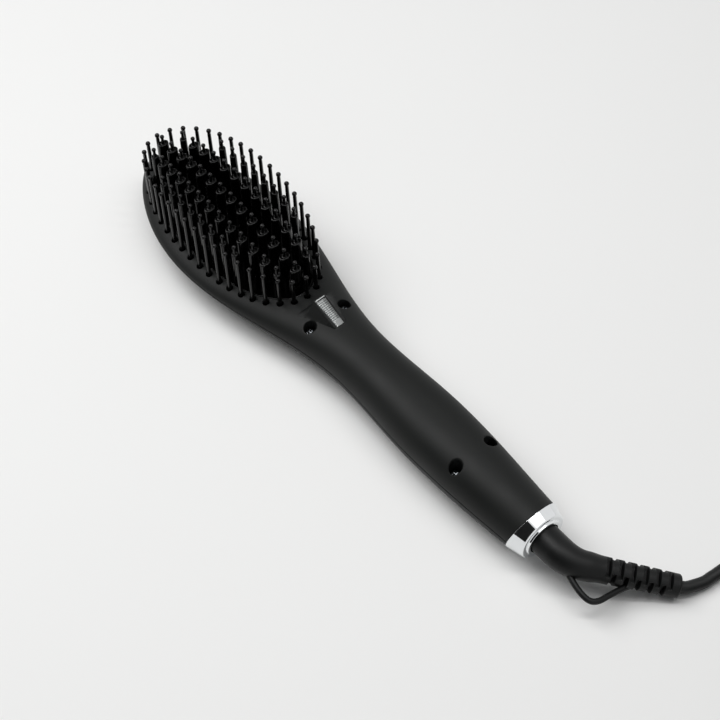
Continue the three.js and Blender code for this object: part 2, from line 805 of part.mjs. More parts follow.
piece(body, 'control_board', controlBoard(), boardGreen)
piece(body, 'indicator_lamp', post(lampAt, 0, lampRadius, boardTop + seatGap, boardTop + lampHeight, 12)
  .add(post(lampAt, 0, lampRadius, boardTop + lampHeight - 0.1, boardTop + lampHeight + 1, 12, 0.7)), lampWhite)
for (const [name, x] of boardScrewPlaces) {
  piece(body, `board_screw_${name}`, smallScrew(x, 0, boardTop + seatGap, 5.6, false), steel)
}

// Height of the back shell's inner face under a part of the given half length and half width
function innerFloor(t, halfLength, halfWidth) {
  const depths = [t - halfLength, t, t + halfLength].map(at => skinAt(at, halfWidth, shellWall, true))
  return -Math.min(...depths)
}

// Display behind its window in the back shell
const glassOuter = -skinAt(displayAt, displayWidth / 2, 0, true)
const glassInner = glassOuter + displayGlass
piece(body, 'display_window', block(displayAt - displayLength / 2, displayAt + displayLength / 2,
  -displayWidth / 2, displayWidth / 2, glassOuter, glassInner), glossBlack)
const moduleHalfLength = displayLength / 2 + displayModuleMargin
const moduleHalfWidth = displayWidth / 2 + displayModuleMargin
piece(body, 'display_module', block(displayAt - moduleHalfLength, displayAt + moduleHalfLength,
  -moduleHalfWidth, moduleHalfWidth, innerFloor(displayAt, moduleHalfLength, moduleHalfWidth) + fitGap,
  boardBottom - seatGap), switchGrey)

// Push switches on the board and the buttons that press them
for (const [name, x, radius] of buttonPlaces) {
  const half = switchSize / 2
  const housing = block(x - half, x + half, -half, half, boardBottom - seatGap - switchHeight,
    boardBottom - seatGap)
  const plungerLow = boardBottom - seatGap - switchHeight - plungerHeight
  const plunger = post(x, 0, plungerRadius, plungerLow, boardBottom - seatGap - 1, 12)
  piece(body, `${name}_switch`, housing.add(plunger), switchGrey)
  const face = -skinAt(x, 0, 0, true) - buttonProud
  const lipRadiusHere = radius + buttonLip
  const lipLow = innerFloor(x, lipRadiusHere, lipRadiusHere) + seatGap
  const cap = post(x, 0, radius, face + 0.4, lipLow + 0.1, 14).add(post(x, 0, radius - 0.4, face, face + 0.5, 14, radius))
  const lip = post(x, 0, lipRadiusHere, lipLow, lipLow + buttonLipHeight, 14)
  const stem = post(x, 0, stemRadius, lipLow, plungerLow - buttonPlay, 8)
  piece(body, `${name}_button`, joined([cap, lip, stem]), softTouchBlack)
}

// Body screws with a cross recess
function bodyScrew(x, y) {
  const face = wellFloor + seatGap
  const head = post(x, y, screwHeadRadius, face, face + screwHeadHeight, 10, screwHeadRadius * 0.85)
  const shank = post(x, y, screwRadius, face - screwLength, face + 0.5, 6)
  const arm = screwHeadRadius * 0.62
  const slot = 0.32
  const recess = block(x - arm, x + arm, y - slot, y + slot, face + 0.7, face + 3)
    .add(block(x - slot, x + slot, y - arm, y + arm, face + 0.7, face + 3))
  return head.add(shank).subtract(recess)
}

for (const [name, x, y] of screwPlaces) piece(body, `screw_${name}`, bodyScrew(x, y), steel)

// Chrome collar, whose spigot plugs into the shells and traps the boot's flange
const spigotAt = collarAt - spigotLength
const shoulderAt = collarEnd - collarShoulder

piece(body, 'collar_ring', turnedAboutX([
  [spigotAt, spigotBore],
  [spigotAt, spigotRadius],
  [collarAt, spigotRadius],
  [collarAt, collarRadius],
  [collarEnd - collarChamfer, collarRearRadius],
  [collarEnd, collarRearRadius - collarChamfer],
  [collarEnd, lipRadius],
  [bodyLength, lipRadius - 0.2],
  [bodyLength, collarHole],
  [shoulderAt, collarHole],
  [shoulderAt, spigotBore]
], 24, collarAt), chrome)

// Contact carrier and its two slip contacts inside the spigot
const carrierRadius = spigotBore - slideGap - 0.1
const carrierAt = spigotAt + seatGap
const contactAt = carrierAt + carrierThickness + seatGap
const bootAt = contactAt + contactThickness + seatGap

piece(body, 'contact_carrier', lyingRod(carrierAt, carrierAt + carrierThickness, 0, 0, carrierRadius, 16),
  switchGrey)
piece(body, 'live_contact', lyingRod(contactAt, contactAt + contactThickness, 0, 0, liveContactRadius, 12), brass)
piece(body, 'neutral_contact', turnedAboutX([
  [contactAt, neutralContactInner],
  [contactAt, neutralContactOuter],
  [contactAt + contactThickness, neutralContactOuter],
  [contactAt + contactThickness, neutralContactInner]
], 14), brass)

// Leads, each a smooth run through a few points
function lead(points, radius = 0.9) {
  const curve = new THREE.CatmullRomCurve3(points.map(point => new THREE.Vector3(...point)))
  return tube(curve.getPoints(7), radius, 5)
}

for (const [name, side, material] of [['live', -1, wireRed], ['neutral', 1, wireBlue]]) {
  piece(body, `${name}_lead`, lead([
    [carrierAt - leadGap, side * 3, 0],
    [carrierAt + (boardTo - carrierAt) / 3, side * 3, -0.6],
    [boardTo + (carrierAt - boardTo) / 3, side * 3.6, -2.4],
    [boardTo + leadGap, side * 3.8, boardTop - boardThickness / 2]
  ]), material)
}
const heaterEnd = ringCentreAt + heaterLength / 2
for (const [name, side] of [['left', -1], ['right', 1]]) {
  piece(body, `heater_lead_${name}`, lead([
    [heaterEnd + leadGap, side * 4.3, heaterTop - heaterHeight / 2],
    [heaterEnd + 8, side * 4.4, heaterTop - heaterHeight / 2],
    [boardFrom - 14, side * 3, boardBottom - 1],
    [boardFrom - 5, side * 2.8, boardBottom - 0.4],
    [boardFrom - leadGap, side * 2.8, boardTop - boardThickness / 2]
  ]), wireRed)
}

// Boot: the path runs straight out of the collar, turns aside and slopes down to the surface
const bootCorner = new THREE.Vector3(bodyLength + bootStem, 0, 0)
const bootWay = new THREE.Vector3(
  Math.cos(rad(bootDrop)) * Math.cos(rad(bootTurn)),
  Math.cos(rad(bootDrop)) * Math.sin(rad(bootTurn)),
  -Math.sin(rad(bootDrop))
)
const bootAngle = Math.acos(bootWay.x)
const bootTangent = bootBend * Math.tan(bootAngle / 2)
const bootEnd = bootCorner.clone().addScaledVector(bootWay, bootLeg)
const bendSide = bootWay.clone().setX(0).normalize()
const onLeg = distance => bootCorner.clone().addScaledVector(bootWay, distance)

// Point at the given share of the elbow's arc
function onElbow(share) {
  const angle = bootAngle * share
  const along = bootCorner.x - bootTangent + bootBend * Math.sin(angle)
  const aside = bootBend * (1 - Math.cos(angle))
  return new THREE.Vector3(along, bendSide.y * aside, bendSide.z * aside)
}

function cordBoot() {
  const stations = [
    [new THREE.Vector3(bootAt, 0, 0), bootFlangeRadius],
    [new THREE.Vector3(shoulderAt - slideGap, 0, 0), bootFlangeRadius],
    [new THREE.Vector3(shoulderAt - slideGap + 0.05, 0, 0), bootRadius],
    [new THREE.Vector3(bodyLength, 0, 0), bootRadius]
  ]
  const elbowSteps = 6
  for (let i = 0; i <= elbowSteps; i++) {
    stations.push([onElbow(i / elbowSteps), ease(bootRadius, reliefRadius + 0.6, i / elbowSteps)])
  }
  stations.push([onLeg(bootLeg - reliefLength), reliefRadius])
  stations.push([onLeg(bootLeg - reliefNose), reliefEndRadius])
  stations.push([onLeg(bootLeg), reliefEndRadius - reliefNose])
  const sides = 14
  const points = stations.map(([point]) => point)
  const frames = stepFrames(points)
  frames[0] = frames[1]
  const skin = solid(loft(stations.map(([point, radius], i) => circle(point, frames[i], radius, sides))))
  const across = new THREE.Vector3().crossVectors(bootWay, new THREE.Vector3(0, 0, 1)).normalize()
  const upward = new THREE.Vector3().crossVectors(across, bootWay)
  const slots = []
  for (let i = 0; (i + 0.5) * reliefPitch < reliefLength - 2; i++) {
    for (const [direction, tangent, lag] of [[upward, across, 0.25], [across, upward, 0.75]]) {
      const centre = onLeg(bootLeg - reliefLength + (i + lag) * reliefPitch)
      if (centre.distanceTo(bootEnd) < 2.4) continue
      for (const way of [-1, 1]) {
        const box = new THREE.BoxGeometry(reliefSlot, 7.6, 4)
        const basis = new THREE.Matrix4().makeBasis(bootWay, tangent, direction)
        box.translate(0, 0, way * (reliefCore + 2)).applyMatrix4(basis)
        slots.push(solid(box.translate(centre.x, centre.y, centre.z)))
      }
    }
  }
  return cutAll(skin, slots).add(hangLoop())
}

// Thin loop on the outer side of the elbow: [distance along the leg, distance aside] pairs
function hangLoop() {
  const aside = new THREE.Vector3(bootWay.y, -bootWay.x, 0).normalize()
  const points = [[-0.5, 2.5], [2, 6.6], [5.5, 10.9], [9.2, 13.3], [12.6, 12.6], [16.2, 9.7], [20, 6.5], [24.5, 3]]
  const curve = new THREE.CatmullRomCurve3(points.map(([along, out]) => {
    return onLeg(along).addScaledVector(aside, out).add(new THREE.Vector3(0, 0, -loopDrop))
  }))
  return solid(tube(curve.getSpacedPoints(18), loopRodRadius, 6))
}

piece(body, 'cord_boot', cordBoot(), rubberBlack)

// Free cord, from the boot's end over the surface to the coil
const toSurface = point => point.clone().add(body.position)
const cordStart = toSurface(bootEnd.clone().addScaledVector(bootWay, seatGap))
const coilCentre = new THREE.Vector2(cordStart.x + coilAlong, cordStart.y + coilAside)
const coilOuter = coilMeanRadius + coilPitch * coilTurns / coilLayers / 2
const coilInner = 2 * coilMeanRadius - coilOuter
const coilFloor = coilLift + cordRadius
const coilStart = new THREE.Vector3(coilCentre.x, coilCentre.y + coilOuter, coilFloor)
const straight = 2 * cordRadius
const cordEnd = new THREE.Vector3(coilStart.x - straight - seatGap, coilStart.y, coilFloor)
const bendStart = new THREE.Vector3(cordStart.x + 4.6, cordStart.y + 17, cordRadius + 0.1)
const onBend = angle => new THREE.Vector3(
  cordEnd.x + (bendStart.x - cordEnd.x) * Math.cos(angle),
  bendStart.y + (cordEnd.y - bendStart.y) * Math.sin(angle),
  ease(bendStart.z, cordEnd.z, angle / (Math.PI / 2)))
const cordCurve = new THREE.CatmullRomCurve3([
  cordStart.clone().addScaledVector(bootWay, 2),
  new THREE.Vector3(cordStart.x + 2.7, cordStart.y + 4.6, 3.4),
  new THREE.Vector3(cordStart.x + 4.2, cordStart.y + 9.6, 2.7),
  new THREE.Vector3(cordStart.x + 4.6, cordStart.y + 14.2, 2.6),
  ...[0.25, 0.6, 0.95, 1.25].map(onBend),
  cordEnd.clone().add(new THREE.Vector3(-4, 0, 0))
])
const cordPoints = [cordStart, ...cordCurve.getSpacedPoints(15), cordEnd]
piece(surface, 'mains_cord', tube(cordPoints, cordRadius, 8), rubberBlack)

// Wound coil: the spiral runs in and out twice, and climbs a layer in the half turn where it reverses
function onCoil(turn) {
  const perLayer = coilTurns / coilLayers
  const layer = Math.min(coilLayers - 1, Math.floor(turn / perLayer))
  const share = turn / perLayer - layer
  const inward = layer % 2 === 0 ? share : 1 - share
  const radius = coilOuter + (coilInner - coilOuter) * inward
  let height = 0
  for (let k = 1; k < coilLayers; k++) height += ease(0, coilLayerStep, (turn - k * perLayer) / 0.5 + 0.5)
  const angle = Math.PI / 2 - 2 * Math.PI * turn
  return new THREE.Vector3(coilCentre.x + radius * Math.cos(angle), coilCentre.y + radius * Math.sin(angle),
    coilFloor + height)
}

function coilPoints() {
  const steps = Math.round(coilTurns * coilSteps)
  const points = [onCoil(0).add(new THREE.Vector3(-straight, 0, 0))]
  for (let i = 0; i <= steps; i++) points.push(onCoil(coilTurns * i / steps))
  const away = Math.PI / 2 - 2 * Math.PI * coilTurns
  const last = points.at(-1)
  const heading = new THREE.Vector3(Math.sin(away), -Math.cos(away), 0)
  points.push(last.clone().addScaledVector(heading, straight))
  return { points, heading }
}

const coil = coilPoints()
piece(surface, 'cord_coil', tube(coil.points, cordRadius, 6), rubberBlack)

// Least gap of the wound cord to itself, measured between points more than half a turn apart
function leastGap(points) {
  let least = Infinity
  for (let i = 0; i < points.length; i++) {
    for (let j = i + coilSteps / 2 + 1; j < points.length; j++) least = Math.min(least, points[i].distanceTo(points[j]))
  }
  return least - 2 * cordRadius
}

console.log(`least gap of the coil to itself: ${leastGap(coil.points).toFixed(2)} mm`)

// Tie round the bundle, open to the turns by the seat gap
function coilTie() {
  const angle = Math.PI / 2
  const inner = coilInner - cordRadius - tieGap
  const outer = coilOuter + cordRadius + tieGap
  const low = coilLift - seatGap
  const high = coilFloor + (coilLayers - 1) * coilLayerStep + cordRadius + seatGap
  const hole = block(inner, outer, -tieWidth, tieWidth, low, high)
  const band = block(inner - tieThickness, outer + tieThickness, -tieWidth / 2, tieWidth / 2,
    low - tieThickness, high + tieThickness).subtract(hole)
  return geometryOf(band).rotateZ(angle).translate(coilCentre.x, coilCentre.y, 0)
}

piece(surface, 'coil_tie', coilTie(), tieBlack)

// Free end of the cord, from the top of the coil round to the plug lying on it
const tailBend = 17
const coilTop = coilFloor + (coilLayers - 1) * coilLayerStep + cordRadius
const plugAt = new THREE.Vector3(coilCentre.x + straight + tailBend, coilCentre.y + coilOuter - tailBend - 1,
  coilTop + seatGap + plugHalfHeight)
const tailStart = coil.points.at(-1).clone().addScaledVector(coil.heading, seatGap)
const tailEnd = new THREE.Vector3(plugAt.x, plugAt.y + seatGap, plugAt.z)
const tailFrom = tailStart.clone().addScaledVector(coil.heading, 3)
const tailTo = tailEnd.clone().add(new THREE.Vector3(0, 3, 0))
const tailCurve = new THREE.CatmullRomCurve3([0, 0.25, 0.5, 0.75, 1].map(share => new THREE.Vector3(
  tailFrom.x + (tailTo.x - tailFrom.x) * Math.sin(share * Math.PI / 2),
  tailTo.y + (tailFrom.y - tailTo.y) * Math.cos(share * Math.PI / 2),
  ease(tailFrom.z, tailTo.z, share))))
const tailPoints = [tailStart, ...tailCurve.getSpacedPoints(9), tailEnd]
piece(surface, 'cord_tail', tube(tailPoints, cordRadius, 8), rubberBlack)

// Two-pin plug lying on the coil, its pins pointing away from the cord
function plugBody() {
  const sides = 16
  const rings = []
  for (const [along, halfWidth, halfHeight, power] of [
    [0, cordRadius + 1, cordRadius + 1, 2],
    [plugNeckLength * 0.8, cordRadius + 1.9, cordRadius + 1.7, 2],
    [plugNeckLength, plugHalfWidth, plugHalfHeight, 2.6],
    [plugLength - 6, 14, plugHalfHeight, 2.8],
    [plugLength, 17, plugHalfHeight, 3.2]
  ]) {
    const ring = []
    for (let k = 0; k < sides; k++) {
      const angle = 2 * Math.PI * (k + 0.5) / sides
      const cos = Math.cos(angle)
      const sin = Math.sin(angle)
      ring.push(new THREE.Vector3(plugAt.x + halfWidth * Math.sign(cos) * Math.abs(cos) ** (2 / power),
        plugAt.y - along, plugAt.z + halfHeight * Math.sign(sin) * Math.abs(sin) ** (2 / power)))
    }
    rings.push(ring)
  }
  return solid(loft(rings))
}

piece(surface, 'plug_body', plugBody(), rubberBlack)
for (const [name, side] of [['left', -1], ['right', 1]]) {
  const faceAt = plugAt.y - plugLength - seatGap
  const rings = [[0, plugPinRadius], [plugPinLength - 1.5, plugPinRadius], [plugPinLength, plugPinRadius * 0.55]]
  const points = rings.map(([along]) => new THREE.Vector3(plugAt.x + side * plugPinSpacing / 2, faceAt - along, plugAt.z))
  const frames = stepFrames(points)
  const pin = loft(rings.map(([, radius], i) => circle(points[i], frames[i], radius, 12)))
  piece(surface, `plug_pin_${name}`, pin, steel)
}

export default brush
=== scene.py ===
import math

import bpy
import numpy as np
from mathutils import Matrix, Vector
from mathutils.geometry import delaunay_2d_cdt


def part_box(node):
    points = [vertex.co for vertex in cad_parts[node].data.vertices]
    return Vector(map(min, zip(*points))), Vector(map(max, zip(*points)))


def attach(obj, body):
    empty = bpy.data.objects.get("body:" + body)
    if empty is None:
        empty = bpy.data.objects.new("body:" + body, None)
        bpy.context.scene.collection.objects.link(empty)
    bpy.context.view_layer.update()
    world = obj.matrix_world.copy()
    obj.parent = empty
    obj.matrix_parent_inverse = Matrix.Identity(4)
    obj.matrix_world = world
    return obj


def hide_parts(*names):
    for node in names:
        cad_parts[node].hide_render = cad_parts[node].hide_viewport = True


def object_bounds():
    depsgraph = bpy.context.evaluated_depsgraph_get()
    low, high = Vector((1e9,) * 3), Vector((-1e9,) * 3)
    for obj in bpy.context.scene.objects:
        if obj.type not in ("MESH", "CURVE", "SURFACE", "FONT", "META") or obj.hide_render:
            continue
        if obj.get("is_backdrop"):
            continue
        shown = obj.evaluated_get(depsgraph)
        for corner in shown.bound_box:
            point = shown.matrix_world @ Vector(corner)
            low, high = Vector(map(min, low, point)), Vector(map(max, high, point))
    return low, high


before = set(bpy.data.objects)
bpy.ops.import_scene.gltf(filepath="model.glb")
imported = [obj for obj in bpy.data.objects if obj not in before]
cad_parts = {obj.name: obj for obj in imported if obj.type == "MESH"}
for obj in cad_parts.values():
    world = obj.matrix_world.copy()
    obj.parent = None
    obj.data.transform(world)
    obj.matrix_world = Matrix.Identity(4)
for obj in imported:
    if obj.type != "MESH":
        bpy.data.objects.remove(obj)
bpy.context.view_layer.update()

# All sizes are in millimetres. Stations run from the tip of the head, heights from the parting plane.
BODY_LENGTH = 258.7
LIFT = 15.3
SHELL_LENGTH = 250.3
HEAD_WIDEST = 60.0
HEAD_HALF, WAIST_HALF, GRIP_HALF, END_RADIUS = 28.2, 13.4, 15.2, 12.3
END_TILT, END_LEAN_RUN = 0.22, 12
NOSE_FULLNESS = 0.66
CROWN_RUN, CROWN_FROM, HEAD_CROWN, GRIP_CROWN = 18, 66, 7.4, 14.4
DEPTH_RUN, DEPTH_FROM, DEEP_FROM, DEEP_TO = 45, 80, 200, 212
HEAD_DEPTH, WAIST_DEPTH = 15.3, 12.6
CROWN_POWER, BACK_POWER, END_POWER = 2.4, 1.6, 2.0
WAIST = 152.0
GRIP_WIDEST = 195.0
GRIP_HIGH = 185.0
WALL = 2.0
RING_CENTRE, RING_LONG, RING_WIDE, RING_POWER = 60.0, 52.4, 22.7, 2.1
OPENING_INSET = 2.0
PIN_HOLE, PIN_COUNT = 1.5, 40
PARTING = 0.15
WEDGE_FRONT, WEDGE_RIDGE, WEDGE_END = 117.0, 120.6, 135.6
WEDGE_FOOT, WEDGE_TIP = 9.4, 2.5
SLOT_FRONT, SLOT_END, SLOT_HALF, SLOT_TAIL = 120.98, 134.8, 2.6, 2.05
RIDGE_HIGH, RIDGE_LOW, RIDGE_HALF, RIDGE_END = 16.8, 11.7, 2.9, 133.9
DISPLAY_AT, DISPLAY_LONG, DISPLAY_WIDE, DISPLAY_CORNER = 141.0, 7.3, 4.8, 1.6
BODY_SCREWS = [(125.6, -9.1), (125.6, 9.1), (216.9, -9.1), (216.9, 9.1)]
BUTTONS = [("plus", 159.0, 3.3), ("power", 171.0, 3.9), ("minus", 183.0, 3.3)]
PILLAR_TOP, WELL_FLOOR = 1.0, 4.3


def place(points):
    """Body stations and heights to the row frame: half the body's length off x, the lift on z, in metres."""
    moved = np.array(points, float)
    moved[..., 0] -= BODY_LENGTH / 2
    moved[..., 2] += LIFT
    return moved / 1000


def placed(points, faces):
    """The same shape with its points in the row frame."""
    return place(points), faces


def around(count):
    """Even angles of one full turn."""
    return np.linspace(0, 2 * np.pi, count, endpoint=False)


def signed_power(value, power):
    """Power of the size of a value, with the value's own sign."""
    return np.sign(value) * np.abs(value) ** power


def rectangle(half_x, half_y):
    """Corners of a rectangle round the origin."""
    return np.array([[-1, -1], [1, -1], [1, 1], [-1, 1]]) * [half_x, half_y]


def unit_ring(count):
    """Points at even angles on the circle of radius 1."""
    return np.stack([np.cos(around(count)), np.sin(around(count))], -1)


def at_height(plan, z):
    """Plan points with one height, or a height each."""
    return np.column_stack([plan, np.broadcast_to(z, len(plan))])


def linked(name, data):
    """New object with that data, in the scene."""
    made = bpy.data.objects.new(name, data)
    bpy.context.scene.collection.objects.link(made)
    return made


def standing_at(where, side, up, back):
    """Matrix with the three axes as its columns and where as its place."""
    turn = np.eye(4)
    turn[:3] = np.column_stack([side, up, back, where])
    return Matrix(turn.tolist())


# Camera, as the photograph was taken

PHOTO_PIXELS, FOCAL_PIXELS = 720, 1855.39
camera_data = bpy.data.cameras.new("photo_camera")
camera_data.sensor_width = 36
camera_data.lens = FOCAL_PIXELS / PHOTO_PIXELS * camera_data.sensor_width
camera = linked("photo_camera", camera_data)
right = np.array([0.6376, 0.7698, -0.0286])
up = np.array([-0.6182, 0.5335, 0.5773])
right /= np.linalg.norm(right)
back = np.cross(right, up)
back /= np.linalg.norm(back)
up = np.cross(back, right)
camera.matrix_world = standing_at((0.37147, -0.27002, 0.64401), right, up, back)
camera_data.clip_start, camera_data.clip_end = 0.01, 20
bpy.context.scene.camera = camera


# Materials


def linear(hex_colour):
    """sRGB hex to linear: below 0.04045 a twelfth, above it the 2.4 power of the shifted share."""
    share = np.array([int(hex_colour[i:i + 2], 16) for i in (1, 3, 5)]) / 255
    straight = np.where(share <= 0.04045, share / 12.92, ((share + 0.055) / 1.055) ** 2.4)
    return (*straight.tolist(), 1.0)


def add(tree, kind, inputs=None, **settings):
    """Adds one node with its settings; an input is a constant, or a socket to link from."""
    made = tree.nodes.new(kind)
    for key, value in settings.items():
        setattr(made, key, value)
    for key, value in (inputs or {}).items():
        if isinstance(value, bpy.types.NodeSocket):
            tree.links.new(value, made.inputs[key])
        else:
            made.inputs[key].default_value = value
    return made


def math_of(tree, operation, *values):
    """Output of a maths node on constants or sockets."""
    return add(tree, "ShaderNodeMath", dict(enumerate(values)), operation=operation).outputs[0]


def mapped(tree, value, low, high, start=0.0, end=1.0, **settings):
    """Runs evenly from start to end as a value runs from low to high, and stays there past both."""
    return add(tree, "ShaderNodeMapRange", {"Value": value, "From Min": low, "From Max": high,
                                            "To Min": start, "To Max": end}, **settings).outputs[0]


def noise(tree, size, detail):
    """Noise over the object's own coordinates, with features size mm across."""
    where = add(tree, "ShaderNodeTexCoord").outputs["Object"]
    return add(tree, "ShaderNodeTexNoise", {
        "Vector": where, "Scale": 1000 / size, "Detail": detail}).outputs["Fac"]


def fed(tree, kind, name):
    """The input of that name on the tree's node of that kind, and the socket that feeds it."""
    socket = next(n for n in tree.nodes if n.type == kind).inputs[name]
    return socket, socket.links[0].from_socket


def finish_of(name, colour, other, roughness, spread=0.06, grain=0.6, relief=0.0, mottle=9.0, **constants):
    """Principled finish whose colour and roughness drift over mottle mm, with a fine grain of relief mm.

    Colour runs from colour to other with a slow noise. Roughness is its middle value plus or minus spread.
    The bump is a second noise with features grain mm across. Constants go to the shader's own sockets.
    """
    material = bpy.data.materials.new(name)
    material.use_nodes = True
    tree = material.node_tree
    tree.nodes.clear()
    slow = noise(tree, mottle, 3.0)
    tint = add(tree, "ShaderNodeMix", {"Factor": slow}, data_type="RGBA")
    tint.inputs["A"].default_value = linear(colour)
    tint.inputs["B"].default_value = linear(other)
    rough = mapped(tree, slow, 0.3, 0.7, max(roughness - spread, 0.01), roughness + spread)
    shader = add(tree, "ShaderNodeBsdfPrincipled", {
        "Base Color": tint.outputs["Result"], "Roughness": rough, **constants})
    if relief:
        bump = add(tree, "ShaderNodeBump", {
            "Height": noise(tree, grain, 2.0), "Distance": relief / 1000, "Strength": 1.0})
        tree.links.new(bump.outputs["Normal"], shader.inputs["Normal"])
    add(tree, "ShaderNodeOutputMaterial", {"Surface": shader.outputs["BSDF"]})
    return material


METAL = {"Metallic": 1.0}


def gloss(index, level):
    """Shader constants of a coat or plastic: its refractive index and the level of its mirror light."""
    return {"IOR": index, "Specular IOR Level": level}


# Soft-touch paint sprayed on moulded ABS: near black, with a wide, dull glow and a fine orange peel
soft_touch = finish_of("soft_touch_paint_on_moulded_abs", "#070908", "#0b0d0c", 0.55, 0.03, 0.35, 0.003, 14.0,
                       **gloss(1.5, 0.22))
# Heat-resistant coating on a cast aluminium plate: deep gloss black with sharp thin glints
gloss_coating = finish_of("gloss_coating_on_cast_aluminium", "#020202", "#040404", 0.07, 0.02, 0.5, 0.001,
                          6.0, **gloss(1.5, 0.28))
# Nylon moulded in a polished tool: black, with a soft gloss down each pin
pin_nylon = finish_of("moulded_nylon", "#030303", "#050505", 0.14, 0.03, 0.4, 0.001, 5.0,
                      **gloss(1.53, 0.24))
# Bright chrome plating on moulded ABS: a mirror with hardly any haze
chrome = finish_of("chrome_plated_abs", "#eceeef", "#e6e8ea", 0.035, 0.015, 0.4, 0.0, 6.0, **METAL)
# Soft PVC moulded round the cord: satin black with a slight drag texture
satin_pvc = finish_of("moulded_soft_pvc", "#0a0b0b", "#0e0f0f", 0.44, 0.05, 0.3, 0.003, 10.0,
                      **gloss(1.5, 0.2))
# Extruded PVC cord sheath: a little duller than the boot
cord_pvc = finish_of("extruded_pvc_sheath", "#0e0f0f", "#121313", 0.46, 0.05, 0.5, 0.003, 12.0,
                     **gloss(1.53, 0.25))
# Smoked acrylic, polished: nearly black with a clear gloss
smoked_acrylic = finish_of("smoked_polished_acrylic", "#08090a", "#0b0c0d", 0.05, 0.02, 0.5, 0.0, 8.0,
                           **{"IOR": 1.49})
# Plain steel screws, cold headed: mid grey with small hard glints
headed_steel = finish_of("plain_cold_headed_steel", "#5c5e61", "#6f7275", 0.2, 0.06, 0.2, 0.004, 1.5, **METAL)
# Zinc-plated steel, rolled or headed: pale grey with a patchy sheen
zinc_steel = finish_of("zinc_plated_steel", "#a4a7aa", "#b6b9bd", 0.33, 0.08, 0.25, 0.003, 2.0, **METAL)
# Nickel-plated brass plug pins, turned: warm bright grey
nickel = finish_of("nickel_plated_brass", "#c9c6bf", "#d4d2cc", 0.2, 0.06, 0.2, 0.002, 3.0, **METAL)
# Stamped brass contact strip: yellow with a soft sheen
brass = finish_of("stamped_brass", "#b8923f", "#c9a552", 0.3, 0.07, 0.3, 0.003, 3.0, **METAL)
# Pressed and fired alumina: chalky off-white
alumina = finish_of("fired_alumina", "#e4e0d6", "#eeebe3", 0.62, 0.06, 0.3, 0.01, 4.0)
# Mica sheet: brownish flakes with a faint pearl
mica = finish_of("pressed_mica_sheet", "#a89466", "#c3b48d", 0.45, 0.15, 1.2, 0.02, 2.2,
                 **{"Sheen Weight": 0.2})
# Glass-fibre board under solder mask: deep green with a soft gloss
board = finish_of("solder_mask_on_glass_fibre", "#123f26", "#1b5434", 0.35, 0.06, 0.6, 0.006, 1.8)
# Glass-filled nylon of switches and carriers: dark grey, slightly rough
grey_nylon = finish_of("glass_filled_nylon", "#33363a", "#3f4246", 0.5, 0.06, 0.3, 0.008, 2.5)
# Diffusing epoxy of the lamp: milky
lamp_epoxy = finish_of("diffusing_epoxy", "#eef1f1", "#f7f8f8", 0.25, 0.05, 0.4, 0.0, 3.0,
                       **{"Subsurface Weight": 0.2})
# Extruded silicone and PVC wire insulation: dull red and a slightly smoother blue
red_silicone = finish_of("extruded_silicone_red", "#7d231d", "#8f2c25", 0.5, 0.05, 0.4, 0.004, 4.0)
blue_pvc = finish_of("extruded_pvc_blue", "#203c70", "#294a86", 0.42, 0.05, 0.4, 0.004, 4.0)
# Printed legend ink on the buttons: flat pale grey
legend_ink = finish_of("pad_printed_ink", "#c9cccd", "#d6d8d9", 0.55, 0.05, 0.3, 0.002, 2.0)


# Meshes from numpy arrays


def piece(name, points, faces, material, body="brush", stands_for=(), slot=None, crease=42):
    """A mesh piece from points in metres and arrays of triangles or quads, turned outwards, shaded smooth
    but for edges that bend by more than the crease angle in degrees.

    The signed volume is a sixth of the sum of corner triple products; where it is negative, faces flip.
    """
    points = np.asarray(points, float)
    corners = np.concatenate([f[:, [0, k, k + 1]] for f in faces for k in range(1, f.shape[1] - 1)])
    a, b, c = points[corners[:, 0]], points[corners[:, 1]], points[corners[:, 2]]
    if np.einsum("ij,ij->i", a, np.cross(b, c)).sum() < 0:
        faces = [f[:, ::-1] for f in faces]
    loops = np.concatenate([f.ravel() for f in faces])
    sizes = np.concatenate([np.full(len(f), f.shape[1]) for f in faces])
    mesh = bpy.data.meshes.new(name)
    mesh.vertices.add(len(points))
    mesh.vertices.foreach_set("co", points.astype(np.float32).ravel())
    mesh.loops.add(len(loops))
    mesh.loops.foreach_set("vertex_index", loops.astype(np.int32))
    mesh.polygons.add(len(sizes))
    mesh.polygons.foreach_set("loop_start", (np.cumsum(sizes) - sizes).astype(np.int32))
    mesh.update(calc_edges=True)
    mesh.validate()
    mesh.polygons.foreach_set("use_smooth", np.ones(len(mesh.polygons), bool))
    mesh.set_sharp_from_angle(angle=math.radians(crease))
    mesh.materials.append(material)
    made = linked(name, mesh)
    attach(made, body)
    if stands_for:
        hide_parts(*stands_for)
    return made


def band_faces(rows, columns, round_rows=False):
    """Quads of a grid that closes round its columns, and round its rows too where asked."""
    i = np.arange(rows if round_rows else rows - 1)[:, None]
    j = np.arange(columns)[None, :]
    here, there = i * columns, (i + 1) % rows * columns
    after = (j + 1) % columns
    return np.stack([here + j, here + after, there + after, there + j], -1).reshape(-1, 4)


def swept(rings):
    """Points and faces of a skin through rings of equal count, each end drawn in to its ring's middle."""
    rows, columns = rings.shape[:2]
    points = np.concatenate([rings.reshape(-1, 3), rings[[0, -1]].mean(axis=1)])
    j = np.arange(columns)
    first = np.stack([np.full(columns, rows * columns), (j + 1) % columns, j], -1)
    end = (rows - 1) * columns
    last = np.stack([np.full(columns, rows * columns + 1), end + j, end + (j + 1) % columns], -1)
    return points, [band_faces(rows, columns), first, last]


def merged(*parts):
    """Several point and face sets as one, each part's faces stepped on past the points before it."""
    points, faces, start = [], [], 0
    for part_points, part_faces in parts:
        points.append(part_points)
        faces += [f + start for f in part_faces]
        start += len(part_points)
    return np.concatenate(points), faces


